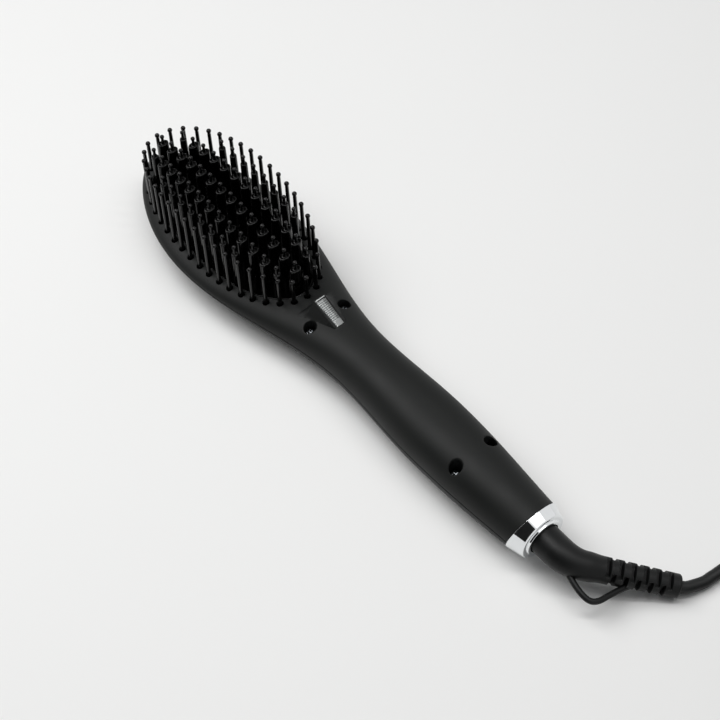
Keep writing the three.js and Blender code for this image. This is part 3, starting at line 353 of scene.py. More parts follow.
def rounded(corners, radius, steps=4, closed=True):
    """A polygon with each corner drawn as a quadratic curve that starts and ends radius away from it."""
    corners = np.asarray(corners, float)
    before, after = np.roll(corners, 1, 0) - corners, np.roll(corners, -1, 0) - corners
    size = np.linalg.norm([before, after], axis=-1)
    cut = np.minimum(np.reshape(radius * np.ones(len(corners)), (1, -1)), size * 0.5) / size
    start, end = corners + before * cut[0][:, None], corners + after * cut[1][:, None]
    s = np.linspace(0, 1, steps + 1)[None, :, None]
    curve = (1 - s) ** 2 * start[:, None] + 2 * s * (1 - s) * corners[:, None] + s ** 2 * end[:, None]
    if not closed:
        curve[0], curve[-1] = corners[0], corners[-1]
    return curve.reshape(-1, corners.shape[1])


def hooped(rows):
    """Points and faces of a skin through rings that also closes from the last ring to the first."""
    return rows.reshape(-1, 3), [band_faces(*rows.shape[:2], round_rows=True)]


def turned_on_x(profile, sides):
    """Ring turned about the X axis: a closed profile of station and radius at even angles."""
    angle = around(sides)
    station, radius = np.array(profile).T
    return hooped(np.stack(np.broadcast_arrays(
        station[:, None], radius[:, None] * np.cos(angle), radius[:, None] * np.sin(angle)), -1))


def level_rings(x, y, profile, sides, stretch=1.0):
    """Level rings round an upright axis from radius and height pairs, stretched along Y."""
    angle = around(sides)
    radius, height = np.array(profile).T
    return np.stack(np.broadcast_arrays(
        x + radius[:, None] * np.cos(angle), y + (radius * stretch)[:, None] * np.sin(angle),
        height[:, None]), -1)


def turned_upright(x, y, profile, sides):
    """Solid turned about an upright axis from radius and height pairs, its ends closed to the axis."""
    return swept(level_rings(x, y, profile, sides))


def carried(path, rings):
    """Carries flat rings along a path: each ring's pairs go on the side and the normal of a frame
    that turns with the path and never twists, by taking the part along the tangent off the last normal."""
    path = np.asarray(path, float)
    tangent = np.gradient(path, axis=0)
    tangent /= np.linalg.norm(tangent, axis=1)[:, None]
    normals = np.empty_like(path)
    normal = np.array([0.0, 0.0, 1.0])
    for i, along in enumerate(tangent):
        normal = normal - along * (normal @ along)
        normal /= np.linalg.norm(normal)
        normals[i] = normal
    side = np.cross(tangent, normals)
    return path[:, None] + rings[..., :1] * side[:, None] + rings[..., 1:] * normals[:, None]


def through(points, count):
    """Smooth line through points: uniform Catmull-Rom cubics, resampled at count even lengths."""
    p = np.asarray(points, float)
    p = np.concatenate([[2 * p[0] - p[1]], p, [2 * p[-1] - p[-2]]])
    s = np.linspace(0, 1, 24, endpoint=False)[:, None]
    rows = [0.5 * (2 * b + (c - a) * s + (2 * a - 5 * b + 4 * c - d) * s ** 2
                   + (3 * b - a - 3 * c + d) * s ** 3)
            for a, b, c, d in zip(p[:-3], p[1:-2], p[2:-1], p[3:])]
    fine = np.concatenate([*rows, p[-2:-1]])
    length = np.concatenate([[0], np.cumsum(np.linalg.norm(np.diff(fine, axis=0), axis=1))])
    at = np.linspace(0, length[-1], count)
    return np.stack([np.interp(at, length, fine[:, k]) for k in range(3)], -1)


# Cord: out of the boot, over the surface to a wound coil, and on to the plug

CORD_RADIUS = 2.5
BOOT_TURN, BOOT_DROP, BOOT_LEG = math.radians(43.4), math.radians(13.9), 44.4
LEG = np.array([math.cos(BOOT_DROP) * math.cos(BOOT_TURN), math.cos(BOOT_DROP) * math.sin(BOOT_TURN),
                -math.sin(BOOT_DROP)])
BOOT_CORNER = np.array([BODY_LENGTH + 13.85, 0, 0])
TO_FLOOR = np.array([-BODY_LENGTH / 2, 0, LIFT])
cord_start = BOOT_CORNER + LEG * (BOOT_LEG + 0.3) + TO_FLOOR
COIL = cord_start[:2] + [71.3, 21.2]
COIL_TURNS, COIL_LAYERS, COIL_STEP, COIL_FLOOR = 9, 4, 5.6, 3.7
COIL_MIDDLE, COIL_PITCH = 29.4, 5.7
COIL_OUTER = COIL_MIDDLE + COIL_PITCH * COIL_TURNS / COIL_LAYERS / 2
COIL_INNER = 2 * COIL_MIDDLE - COIL_OUTER
COIL_TOP = COIL_FLOOR + (COIL_LAYERS - 1) * COIL_STEP + CORD_RADIUS


def ease(start, end, share):
    """Half a cosine wave from start to end as share runs from 0 to 1."""
    return start + (end - start) * (1 - np.cos(np.pi * np.clip(share, 0, 1))) / 2


def quarter(start, end, share):
    """Quarter ellipse between two heights eased into each other. The side way goes as the sine of the
    angle and the other way as one less its cosine, so it leaves along X and comes in along Y."""
    turn = np.asarray(share) * np.pi / 2
    return np.stack([start[0] + (end[0] - start[0]) * np.sin(turn),
                     end[1] + (start[1] - end[1]) * np.cos(turn), ease(start[2], end[2], share)], -1)


def coil_line(steps_a_turn=36):
    """Spiral that runs in and out twice: the radius falls or grows evenly over each layer, the angle
    turns evenly, and the height eases up a layer in each half turn where the spiral reverses."""
    turn = np.linspace(0, COIL_TURNS, int(COIL_TURNS * steps_a_turn) + 1)
    a_layer = COIL_TURNS / COIL_LAYERS
    layer = np.minimum(COIL_LAYERS - 1, np.floor(turn / a_layer))
    share = turn / a_layer - layer
    inward = np.where(layer % 2 == 0, share, 1 - share)
    radius = COIL_OUTER + (COIL_INNER - COIL_OUTER) * inward
    height = COIL_FLOOR + sum(ease(0, COIL_STEP, (turn - k * a_layer) / 0.5 + 0.5)
                              for k in range(1, COIL_LAYERS))
    angle = np.pi / 2 - 2 * np.pi * turn
    return np.stack([COIL[0] + radius * np.cos(angle), COIL[1] + radius * np.sin(angle), height], -1)


coil = coil_line()
coil_in = coil[0] - [5, 0, 0]
coil_out = coil[-1] + [5, 0, 0]
PLUG = np.array([COIL[0] + 22, COIL[1] + COIL_OUTER - 18, COIL_TOP + 0.3 + 6.8])
bend_start = np.array([cord_start[0] + 4.6, cord_start[1] + 17, CORD_RADIUS + 0.1])
run_out = through([
    cord_start - LEG * 1.2, cord_start + LEG * 2, cord_start + [2.7, 4.6, 3.4 - cord_start[2]],
    cord_start + [4.2, 9.6, 2.7 - cord_start[2]], cord_start + [4.6, 14.2, 2.6 - cord_start[2]],
    *quarter(coil_in, bend_start, np.array([0.84, 0.62, 0.4, 0.2])), coil_in - [4.3, 0, 0], coil_in], 60)
run_in = through([coil_out, *quarter(coil_out + [3.3, 0, 0], PLUG + [0, 3.3, 0], np.linspace(0, 1, 5)),
                  PLUG - [0, 2, 0]], 20)
cord_line = np.concatenate([run_out[:-1], coil_in[None], coil, run_in]) / 1000
cord_curve = bpy.data.curves.new("mains_flex", "CURVE")
cord_curve.dimensions = "3D"
spline = cord_curve.splines.new("POLY")
spline.points.add(len(cord_line) - 1)
spline.points.foreach_set("co", np.concatenate([cord_line, np.ones((len(cord_line), 1))], 1).ravel())
spline.use_smooth = True
cord_curve.bevel_depth = CORD_RADIUS / 1000
cord_curve.bevel_resolution = 5
cord_curve.use_fill_caps = True
cord_curve.materials.append(cord_pvc)
mains_flex = linked("mains_flex", cord_curve)
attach(mains_flex, "cord")
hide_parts("mains_cord", "cord_coil", "cord_tail")


# Body shells


def outline(t, inset=0.0):
    """Half width, crown height, back depth, and the section's power above and below, at stations t,
    drawn in by an even inset.

    The nose is a quarter ellipse in the side view and a little slimmer in the plan, the flanks are half
    cosine waves between the widest places, and the rear end falls off as a quarter cosine.
    """
    t = np.asarray(t, float)

    def nose(run, height, fullness=0.5):
        away = np.clip((run - t) / (run - inset), 0, 1)
        return (height - inset) * (1 - away ** 2) ** fullness

    def fall(start, end, low, high):
        return end + (start - end) * np.cos(np.pi / 2 * np.clip((t - low) / (high - low), 0, 1)) - inset

    def wave(start, end, low, high):
        return ease(start, end, (t - low) / (high - low)) - inset

    half = np.select([t < HEAD_WIDEST, t < WAIST, t < GRIP_WIDEST],
                     [nose(HEAD_WIDEST, HEAD_HALF, NOSE_FULLNESS),
                      wave(HEAD_HALF, WAIST_HALF, HEAD_WIDEST, WAIST),
                      wave(WAIST_HALF, GRIP_HALF, WAIST, GRIP_WIDEST)],
                     fall(GRIP_HALF, END_RADIUS, GRIP_WIDEST, SHELL_LENGTH))
    crown = np.select([t < CROWN_RUN, t < GRIP_HIGH],
                      [nose(CROWN_RUN, HEAD_CROWN), wave(HEAD_CROWN, GRIP_CROWN, CROWN_FROM, GRIP_HIGH)],
                      fall(GRIP_CROWN, END_RADIUS, GRIP_HIGH, SHELL_LENGTH))
    depth = np.select([t < DEPTH_RUN, t < WAIST, t < DEEP_TO],
                      [nose(DEPTH_RUN, HEAD_DEPTH), wave(HEAD_DEPTH, WAIST_DEPTH, DEPTH_FROM, WAIST),
                       wave(WAIST_DEPTH, HEAD_DEPTH, WAIST, DEEP_FROM)],
                      fall(HEAD_DEPTH, END_RADIUS, DEEP_TO, SHELL_LENGTH))
    power = ease(CROWN_POWER, END_POWER, (t - GRIP_WIDEST) / (SHELL_LENGTH - GRIP_WIDEST))
    back_power = ease(BACK_POWER, END_POWER, (t - DEPTH_FROM) / (WAIST - DEPTH_FROM))
    return half, crown, depth, power, back_power


def section(x, above, inset=0.0):
    """Half width, height and power of the section at stations x, for the upper or the lower half."""
    half, crown, depth, power, back_power = outline(x, inset)
    return (half, crown, power) if above else (half, depth, back_power)


def skin(x, y, above, inset=0.0):
    """Height of the shell over plan points: the superellipse of the section at x, cut off at its edge."""
    half, height, power = section(x, above, inset)
    share = 1 - np.clip(np.abs(y) / np.maximum(half, 1e-6), 0, 1) ** power
    return np.maximum(height, 0) * share ** (1 / power)


EDGE_ROLL = 0.35


def edge_roll(height):
    """Radius of the roll at the parting edge, less than the usual one where the shell is low."""
    return np.minimum(EDGE_ROLL, 0.45 * (height - PARTING))


def edge_angle(height, power):
    """Angle of the section at which its skin meets the edge's roll."""
    return np.arcsin(np.clip((PARTING + edge_roll(height)) / height, 0, 1) ** (power / 2))


def tilted(points):
    """Stations lean with the height over the last stretch of the shell: the shift is the height times
    the end's tilt times the square of the share along that stretch."""
    share = np.clip((points[:, 0] - SHELL_LENGTH + END_LEAN_RUN) / END_LEAN_RUN, 0, 1)
    return points + np.outer(END_TILT * points[:, 2] * share ** 2, [1, 0, 0])


def wedge_foot(x):
    """Half width of the wedge's foot at station x: it narrows evenly from its front to its tip."""
    return WEDGE_FOOT + (WEDGE_TIP - WEDGE_FOOT) * (x - WEDGE_FRONT) / (WEDGE_END - WEDGE_FRONT)


def wedge_height(x, y, deck):
    """Raised wedge: a level ridge, flanks that fall as the 1.4 power of the share left to the foot line,
    and a front face that climbs evenly. Outside its foot line the deck stays."""
    at = np.maximum(x, WEDGE_RIDGE)
    foot_half = wedge_foot(x)
    half = wedge_foot(at)
    aside = np.abs(y) * half / np.maximum(foot_half, 1e-6)
    top = np.minimum(RIDGE_HALF, 0.92 * half)
    foot = skin(at, half, True)
    ridge = RIDGE_HIGH + (RIDGE_LOW - RIDGE_HIGH) * (at - WEDGE_RIDGE) / (WEDGE_END - WEDGE_RIDGE)
    share = np.clip((aside - top) / (half - top), 0, 1)
    raised = foot + (ridge - foot) * (1 - share) ** 1.4
    climb = np.clip((x - WEDGE_FRONT) / (WEDGE_RIDGE - WEDGE_FRONT), 0, 1)
    inside = (x >= WEDGE_FRONT) & (x <= WEDGE_END) & (np.abs(y) <= foot_half)
    return np.where(inside, np.maximum(deck, deck + (raised - deck) * climb), deck)


def top_of(x, y, above):
    """Height of the shell over plan points, with the wedge on the upper half."""
    height = skin(x, y, above)
    return wedge_height(x, y, height) if above else height


def on_oval(inset, angle):
    """Superellipse of power 2.1 round the middle of the pin ring, its half axes less the inset."""
    return np.stack([RING_CENTRE + (RING_LONG - inset) * signed_power(np.cos(angle), 2 / RING_POWER),
                     (RING_WIDE - inset) * signed_power(np.sin(angle), 2 / RING_POWER)], -1)


def oval_share(x, y, inset):
    """Below 1 inside the oval at that inset and above 1 outside it."""
    return (np.abs((x - RING_CENTRE) / (RING_LONG - inset)) ** RING_POWER
            + np.abs(y / (RING_WIDE - inset)) ** RING_POWER)


def ring_places():
    """Forty pin places at even lengths along the oval, the first at its heel."""
    fine = on_oval(0, np.linspace(0, 2 * np.pi, 721))
    length = np.concatenate([[0], np.cumsum(np.linalg.norm(np.diff(fine, axis=0), axis=1))])
    at = np.searchsorted(length, length[-1] * np.arange(PIN_COUNT) / PIN_COUNT - 1e-9)
    return fine[at]


def circles(centres, radii, drops, count):
    """Rings of points round each centre, one for each radius, with how far each is below the skin."""
    plan = np.asarray(centres)[:, None, None] + np.asarray(radii)[None, :, None, None] * unit_ring(count)
    drop = np.broadcast_to(np.asarray(drops, float)[None, :, None], plan.shape[:3])
    return plan.reshape(-1, 2), drop.ravel()


NET_SPAN = 40


def shell_half(above, rings, walls, keep_out, is_hole, creases=()):
    """Closed half shell as points and faces.

    Plan points are the section's angles at even stations, plus rings round every hole and lines along
    every crease. A Delaunay net over station and angle joins them, holes are left out of it, and the
    same net, an even wall deeper, makes the inside. Quads along every free edge close the two.
    """
    t = np.concatenate([HEAD_WIDEST * (1 - np.cos(np.linspace(0.03, np.pi / 2, 52))),
                        np.linspace(HEAD_WIDEST, SHELL_LENGTH, 180)[1:]])
    half, height, power = section(t, above)
    edge, low = edge_roll(height), edge_angle(height, power)
    share = np.linspace(0, 1, 83)
    angle = low[:, None] + (np.pi - 2 * low[:, None]) * share
    y = half[:, None] * signed_power(np.cos(angle), 2 / power[:, None])
    plan = np.stack([np.broadcast_to(t[:, None], y.shape), y], -1).reshape(-1, 2)
    z = (height[:, None] * np.sin(angle) ** (2 / power[:, None])).ravel()
    net = np.stack(np.broadcast_arrays(t[:, None], NET_SPAN * (share - 0.5)), -1).reshape(-1, 2)
    keep = ~keep_out(*plan.T)
    plan, z, net = plan[keep], z[keep], net[keep]
    if above:
        z = wedge_height(*plan.T, z)
    inner_half = outline(np.maximum(t, WALL + 0.05), WALL)[0]

    def on_net(points):
        """Plan points to station and share of the section's angle."""
        x, y = points.T
        h, tall, p = section(x, above)
        foot = edge_angle(tall, p)
        turn = np.arccos(np.sign(y) * np.clip(np.abs(y) / h, 0, 1) ** (p / 2))
        return np.stack([x, NET_SPAN * ((turn - foot) / (np.pi - 2 * foot) - 0.5)], -1)

    def under(points):
        """Inside of the wall below plan points, pulled in towards the nose and the edges."""
        at, y = points.T
        x = at + WALL * np.clip(1 - at / HEAD_WIDEST, 0, 1) ** 3
        h = outline(at)[0]
        inner = np.maximum(outline(x, WALL)[0], 0.01)
        r = np.clip(np.abs(y) / h, 0, 1)
        pulled = y * (1 - (1 - np.minimum(inner / h, 1)) * r ** 4)
        return np.stack([x, pulled, np.maximum(skin(x, pulled, above, WALL), PARTING)], -1)

    outer = [at_height(plan, z)]
    inner = [under(plan)]
    nets = [net]
    for ring_plan, drop in rings:
        outer.append(at_height(ring_plan, top_of(*ring_plan.T, above) - drop))
        inner.append(at_height(ring_plan, np.maximum(skin(*ring_plan.T, above, WALL), PARTING)))
        nets.append(on_net(ring_plan))
    for wall_outer, wall_inner in walls:
        outer.append(wall_outer)
        inner.append(wall_inner)
        nets.append(on_net(wall_outer[:, :2]))
    edges = []
    for line in creases:
        start = sum(len(part) for part in outer)
        outer.append(at_height(line, top_of(*line.T, above)))
        inner.append(at_height(line, skin(*line.T, above, WALL)))
        nets.append(on_net(line))
        edges += [(start + i, start + i + 1) for i in range(len(line) - 1)]

    # The lowest strip of skin rolls in over a small radius to the parting face
    for step in (1, 2, 3):
        roll = math.pi / 2 * step / 3
        rim_z = PARTING + edge * (1 - math.sin(roll))
        for side in (-1, 1):
            rim_half = half * np.cos(low) ** (2 / power) - edge * (1 - math.cos(roll))
            outer.append(np.column_stack([t, -side * rim_half, rim_z]))
            inner.append(np.column_stack([np.maximum(t, WALL + 0.05), -side * np.maximum(inner_half, 0.02),
                                          np.full(len(t), PARTING + 0.3 * (3 - step) / 3)]))
            nets.append(np.column_stack([t, np.full(len(t), side * (NET_SPAN / 2 + 0.12 * step))]))

    outer, inner, nets = (np.concatenate(part) for part in (outer, inner, nets))
    _, _, faces, source, _, _ = delaunay_2d_cdt(nets.tolist(), edges, [], 0, 1e-6)
    pick = np.array([s[0] if s else -1 for s in source])
    faces = pick[np.array(faces)]
    faces = faces[(faces >= 0).all(axis=1)]
    middle = outer[faces].mean(axis=1)
    faces = faces[~is_hole(middle[:, 0], middle[:, 1])]
    used, flat = np.unique(faces, return_inverse=True)
    faces = flat.reshape(faces.shape)
    outer, inner = outer[used], inner[used]
    count = len(outer)
    sides = np.concatenate([faces[:, [0, 1]], faces[:, [1, 2]], faces[:, [2, 0]]])
    code = sides[:, 0] * count + sides[:, 1]
    free = sides[~np.isin(code, sides[:, 1] * count + sides[:, 0])]
    rim = np.stack([free[:, 1], free[:, 0], free[:, 0] + count, free[:, 1] + count], -1)
    sign = 1 if above else -1
    points = np.concatenate([outer, inner]) * [1, 1, sign]
    return place(tilted(points)), [faces, faces[:, ::-1] + count, rim]


def line_of(start, end, step=0.5):
    """Even points from start to end, about step apart."""
    count = max(2, int(np.hypot(*(np.subtract(end, start))) / step) + 1)
    return np.linspace(start, end, count)


def closed_line(corners, step):
    """Even points about step apart round a closed polygon."""
    return np.concatenate([line_of(a, b, step)[:-1] for a, b in zip(corners, np.roll(corners, -1, 0))])


pins = ring_places()
wells = np.array(BODY_SCREWS)
slot_corners = np.array([[SLOT_FRONT, -SLOT_HALF], [SLOT_END, -SLOT_TAIL], [SLOT_END, SLOT_TAIL],
                         [SLOT_FRONT, SLOT_HALF]])


def near(x, y, centres, radius):
    """True where a plan point is within radius of any centre."""
    centres = np.asarray(centres)
    gap = np.hypot(x[:, None] - centres[None, :, 0], y[:, None] - centres[None, :, 1])
    return (gap < radius).any(axis=1)


def in_slot(x, y, margin=0.0):
    """True inside the lens slot, which narrows evenly to the rear."""
    half = SLOT_HALF + (SLOT_TAIL - SLOT_HALF) * (x - SLOT_FRONT) / (SLOT_END - SLOT_FRONT)
    return (x > SLOT_FRONT - margin) & (x < SLOT_END + margin) & (np.abs(y) < half + margin)


def well_walls():
    """Sides and floor of each screw well, with the boss round it as their inside."""
    radii = np.array([2.79, 2.785, 2.78, 2.68, 2.45, 1.7])
    levels = np.array([0.35, 0.7, 0.95, 0.99, 1.0, 1.0])
    boss = np.array([4.2, 4.2, 4.2, 4.2, 3.4, 1.7])
    unit = unit_ring(56)
    parts = []
    for centre in wells:
        plan = centre + radii[:, None, None] * unit
        top = top_of(plan[..., 0], plan[..., 1], True) - 0.35
        z = top + (WELL_FLOOR - top) * levels[:, None]
        wide = centre + boss[:, None, None] * unit
        ceiling = skin(wide[..., 0], wide[..., 1], True, WALL)
        deep = ceiling + (1.4 - ceiling) * np.clip(levels[:, None] * 1.02, 0, 1)
        parts.append((np.concatenate([plan, z[..., None]], -1).reshape(-1, 3),
                      np.concatenate([wide, deep[..., None]], -1).reshape(-1, 3)))
    return parts


opening_rings = [(on_oval(inset, around(460)), np.full(460, drop))
                 for inset, drop in ((1.84, 0.0), (1.94, 0.04), (OPENING_INSET, 0.12))]
slot_line = closed_line(slot_corners, 0.6)
front_rings = [
    *opening_rings,
    circles(pins, (1.68, 1.56, PIN_HOLE), (0, 0.04, 0.14), 26),
    circles(wells, (3.3, 3.12, 2.98, 2.87, 2.8), (0, 0.02, 0.08, 0.18, 0.35), 56),
    (slot_line, np.zeros(len(slot_line))),
]


def clear_of_wells(line):
    """A crease line's stretches that stay clear of the screw wells."""
    gaps = near(line[:, 0], line[:, 1], wells, 3.5)
    cuts = np.flatnonzero(np.diff(gaps.astype(int))) + 1
    return [part for part, hit in zip(np.split(line, cuts), np.split(gaps, cuts))
            if not hit[0] and len(part) > 1]


ridge_half = float(wedge_foot(WEDGE_RIDGE))
creases = [
    line_of((WEDGE_FRONT, -WEDGE_FOOT), (WEDGE_FRONT, WEDGE_FOOT)),
    line_of((WEDGE_RIDGE, -ridge_half), (WEDGE_RIDGE, -RIDGE_HALF)),
    line_of((WEDGE_RIDGE, -RIDGE_HALF), (WEDGE_RIDGE, RIDGE_HALF)),
    line_of((WEDGE_RIDGE, RIDGE_HALF), (WEDGE_RIDGE, ridge_half)),
]
for side in (-1, 1):
    foot_line = line_of((117.05, side * (WEDGE_FOOT - 0.02)), (135.55, side * (WEDGE_TIP + 0.015)))
    creases += clear_of_wells(foot_line)
    creases.append(line_of((120.65, side * RIDGE_HALF), (RIDGE_END, side * RIDGE_HALF)))
front_points, front_faces = shell_half(
    True, front_rings, well_walls(),
    lambda x, y: (oval_share(x, y, 1.5) < 1) | near(x, y, pins, 1.95) | near(x, y, wells, 3.6)
    | in_slot(x, y, 0.3),
    lambda x, y: (oval_share(x, y, OPENING_INSET) < 1) | near(x, y, pins, PIN_HOLE) | near(x, y, wells, 1.7)
    | in_slot(x, y),
    creases)
piece("upper_shell", front_points, front_faces, soft_touch, "brush", ["front_shell"], "soft_touch_black", 17)

display_corners = rectangle(DISPLAY_LONG, DISPLAY_WIDE)
display_rings = []
for grow, drop in ((0.45, 0.0), (0.22, 0.03), (0.08, 0.12), (0.0, 0.3)):
    corner = rounded(display_corners * (1 + grow / np.abs(display_corners)), DISPLAY_CORNER + grow, 6)
    line = closed_line(corner, 0.55)
    display_rings.append((line + [DISPLAY_AT, 0], np.full(len(line), drop)))
button_rings = [circles([(x, 0)], (r + 0.85, r + 0.62, r + 0.48, r + 0.4), (0, 0.03, 0.12, 0.3), 72)
                for _, x, r in BUTTONS]


def in_display(x, y, margin=0.0):
    """True inside the display's opening, whose corners are cut by a quarter circle."""
    over = np.maximum(np.stack([np.abs(x - DISPLAY_AT) - DISPLAY_LONG, np.abs(y) - DISPLAY_WIDE])
                      + DISPLAY_CORNER, 0)
    return np.hypot(*over) < DISPLAY_CORNER - 0.05 + margin


def in_buttons(x, y, margin):
    """True inside any button's hole."""
    return np.any([np.hypot(x - at, y) < r + 0.4 + margin for _, at, r in BUTTONS], axis=0)


back_points, back_faces = shell_half(
    False, [*display_rings, *button_rings], [],
    lambda x, y: in_display(x, y, 0.7) | in_buttons(x, y, 0.7),
    lambda x, y: in_display(x, y, 0.0) | in_buttons(x, y, -0.01))
piece("lower_shell", back_points, back_faces, soft_touch, "brush", ["back_shell"], "soft_touch_black")

# Screw pillars inside the lower shell, each a plain tube with a pilot hole
pillar_parts = []
for x, y in BODY_SCREWS:
    foot = -float(skin(np.array([x]), np.array([abs(y) + 2.6]), False, 1.0)[0])
    ring = rounded([[1.7, foot + 0.1], [3.3, foot + 0.1], [3.3, PILLAR_TOP], [1.7, PILLAR_TOP]], 0.2, 2)
    pillar_parts.append(placed(*hooped(level_rings(x, y, ring, 32))))
piece("screw_pillars", *merged(*pillar_parts), soft_touch, "brush", (), "soft_touch_black")


# Bristles


PIN_TIP, PIN_FALL = 31.02, 7.8
STUD_TIP, STUD_FALL = 31.95, 7.5
HEEL_STUD, STUD_PITCH, STUD_DRAW = 105.3, 7.2, 0.3


def tip_height(x, highest, fall):
    """Height of a tip: it falls from the highest with the square of the share along the oval."""
    return highest - fall * ((x - RING_CENTRE) / RING_LONG) ** 2


def ball_profile(stem, ball, tip):
    """Radius and height pairs of a ball on a stem: latitudes of a sphere from where the stem meets it."""
    start = math.asin(min(1, stem / ball))
    lat = np.linspace(math.pi - start, 0.12, 9)
    return np.stack([ball * np.sin(lat), tip - ball + ball * np.cos(lat)], -1)


def pin_rings(x, y, low, tip, foot, neck, ball):
    """Rings of one straight pin: a cone from foot to neck radius and a ball on its end."""
    head = ball_profile(neck, ball, tip)
    profile = np.concatenate([[[foot * 0.7, low], [foot, low + 0.15], [foot - 0.01, low + 0.5]],
                              [[neck * 1.06, head[0, 1] - 1.3], [neck * 1.03, head[0, 1] - 0.5]], head])
    return level_rings(x, y, profile, 18)


band = rounded([[-1.15, 0.2], [-1.15, 1.4], [1.6, 1.4], [1.6, 0.2]], 0.25, 2)
parts = [placed(*hooped(np.stack([at_height(on_oval(inset, around(240)), z) for inset, z in band])))]
for x, y in pins:
    parts.append(placed(*swept(pin_rings(x, y, 0.7, tip_height(x, PIN_TIP, PIN_FALL), 1.0, 0.76, 1.1))))
piece("bristle_pins", *merged(*parts), pin_nylon, "brush", ["bristle_ring"], "pin_black")


def stud_places():
    """Rows at shares of the ring's half width, which draw in with the square of the share along it."""
    rows = []
    for aside, count, round_ends, lag in ((0, 14, 0, 0), (0.427, 13, 1, 2.5), (0.749, 8, 4, 20.3)):
        for side in ((-aside, aside) if aside else (0,)):
            k = np.arange(count)
            x = HEEL_STUD - lag - STUD_PITCH * k
            y = side * RING_WIDE * (1 - STUD_DRAW * ((x - RING_CENTRE) / RING_LONG) ** 2)
            rows.append(np.column_stack([x, y, np.minimum(k, count - 1 - k) < round_ends]))
    return np.concatenate(rows)


def stud_rings(x, y, is_round):
    """Rings of one stud: an oval column that narrows upwards and rolls over a small edge to a
    slightly dished top, a collar round the pin, and the pin with its ball."""
    tip = tip_height(x, STUD_TIP, STUD_FALL)
    shoulder = tip - 4.9
    wide, longways = (1.75, 1.0) if is_round else (2.0, 2.95 / 2.0)
    top = wide - 0.25
    column = np.array([[wide, -0.4], [wide, 3.0], [top + 0.04, shoulder - 1.3], [top + 0.03, shoulder - 0.62],
                       [top + 0.01, shoulder - 0.44], [top - 0.05, shoulder - 0.24],
                       [top - 0.16, shoulder - 0.08], [top - 0.34, shoulder], [top - 0.52, shoulder - 0.05],
                       [0.95, shoulder - 0.12], [0.84, shoulder - 0.02], [0.76, shoulder + 0.2]])
    stem = np.concatenate([[[0.7, shoulder + 0.6]], ball_profile(0.62, 0.98, tip)])
    profile = np.concatenate([column, stem])
    stretch = np.concatenate([np.full(len(column), longways), np.ones(len(stem))])
    stretch[len(column) - 3:len(column)] = [1.0 + (longways - 1) * 0.2, 1.0, 1.0]
    return level_rings(x, y, profile, 36, stretch)


RIM_FROM, RIM_UNDER, RIM_TOP = 2.8, 1.1, 3.2


def oval_slab(profile):
    """Slab under the oval: rings at inset and height pairs, closed across at both ends. Heights above
    2.8 mm are the rim's, which climbs with the shell towards the heel and stays 1.1 mm under it."""
    angle = around(260)
    edge_line = on_oval(2.75, angle)
    climb = np.maximum(skin(*edge_line.T, True) - RIM_UNDER - RIM_TOP, 0)
    climb *= np.clip((edge_line[:, 0] - RING_CENTRE) / 38, 0, 1)
    return placed(*swept(np.stack([at_height(on_oval(inset, angle), height + climb * (height > RIM_FROM))
                                   for inset, height in profile])))


bead = np.linspace(0, np.pi, 7)
rim_beads = [np.column_stack([middle - 0.27 * np.cos(bead), 2.93 + 0.27 * np.sin(bead)])
             for middle in (2.57, 3.23)]
plate_section = np.concatenate([[[3.0, -1.4], [2.3, -1.4], [2.3, 1.2]], *rim_beads,
                                [[3.5, 1.35], [3.62, 1.1], [3.9, 1.0], [18, 1.0]]])
flange_section = [[20, -1.4], [-1.15, -1.4], [-1.15, -0.1], [20, -0.1]]
plate_parts = [oval_slab(plate_section), oval_slab(flange_section)]
for x, y, is_round in stud_places():
    plate_parts.append(placed(*swept(stud_rings(x, y, bool(is_round)))))


def slab(x0, x1, y0, y1, z0, z1, corner=0.8, edge=0.2, upright=6):
    """Block with rounded upright corners and small rolled edges, from rings of one rounded rectangle."""
    middle = np.array([(x0 + x1) / 2, (y0 + y1) / 2])
    box = np.array([[x0, y0], [x1, y0], [x1, y1], [x0, y1]]) - middle
    full = rounded(box, corner, upright)
    half = np.abs(box[0])
    roll = edge * 0.3
    levels = [(edge, z0), (roll, z0 + roll), (0, z0 + edge), (0, z1 - edge), (roll, z1 - roll), (edge, z1)]
    rings = [at_height(middle + full * (1 - inset / half), z) for inset, z in levels]
    return placed(*swept(np.stack(rings)))


plate_parts.append(slab(103.8, 121, -9, 9, -1.4, -0.1, 1.2, 0.15))
for x in (RING_CENTRE - 34.2, RING_CENTRE + 34.2):
    plate_parts.append(placed(*turned_upright(x, 0, [[2.3, -5.7], [2.5, -5.5], [2.5, -1.0]], 32)))
piece("studded_plate", *merged(*plate_parts), gloss_coating, "brush", ["heating_plate"], "gloss_black")


# Light lens on the wedge's ridge

RIDGE_SLOPE = math.atan2(RIDGE_HIGH - RIDGE_LOW, WEDGE_END - WEDGE_RIDGE)


def on_ridge(along, aside, rise):
    """Places along the ridge line: a turn by the ridge's slope, then out to the ridge's head end."""
    x = WEDGE_RIDGE + along * math.cos(RIDGE_SLOPE) + rise * math.sin(RIDGE_SLOPE)
    z = RIDGE_HIGH - along * math.sin(RIDGE_SLOPE) + rise * math.cos(RIDGE_SLOPE)
    return np.stack(np.broadcast_arrays(x, aside, z), -1)


LENS_START, LENS_RUN, RIBS_FROM, RIBS_TO, RIB_PITCH = 0.5, 14.4, 1.6, 12.1, 0.9


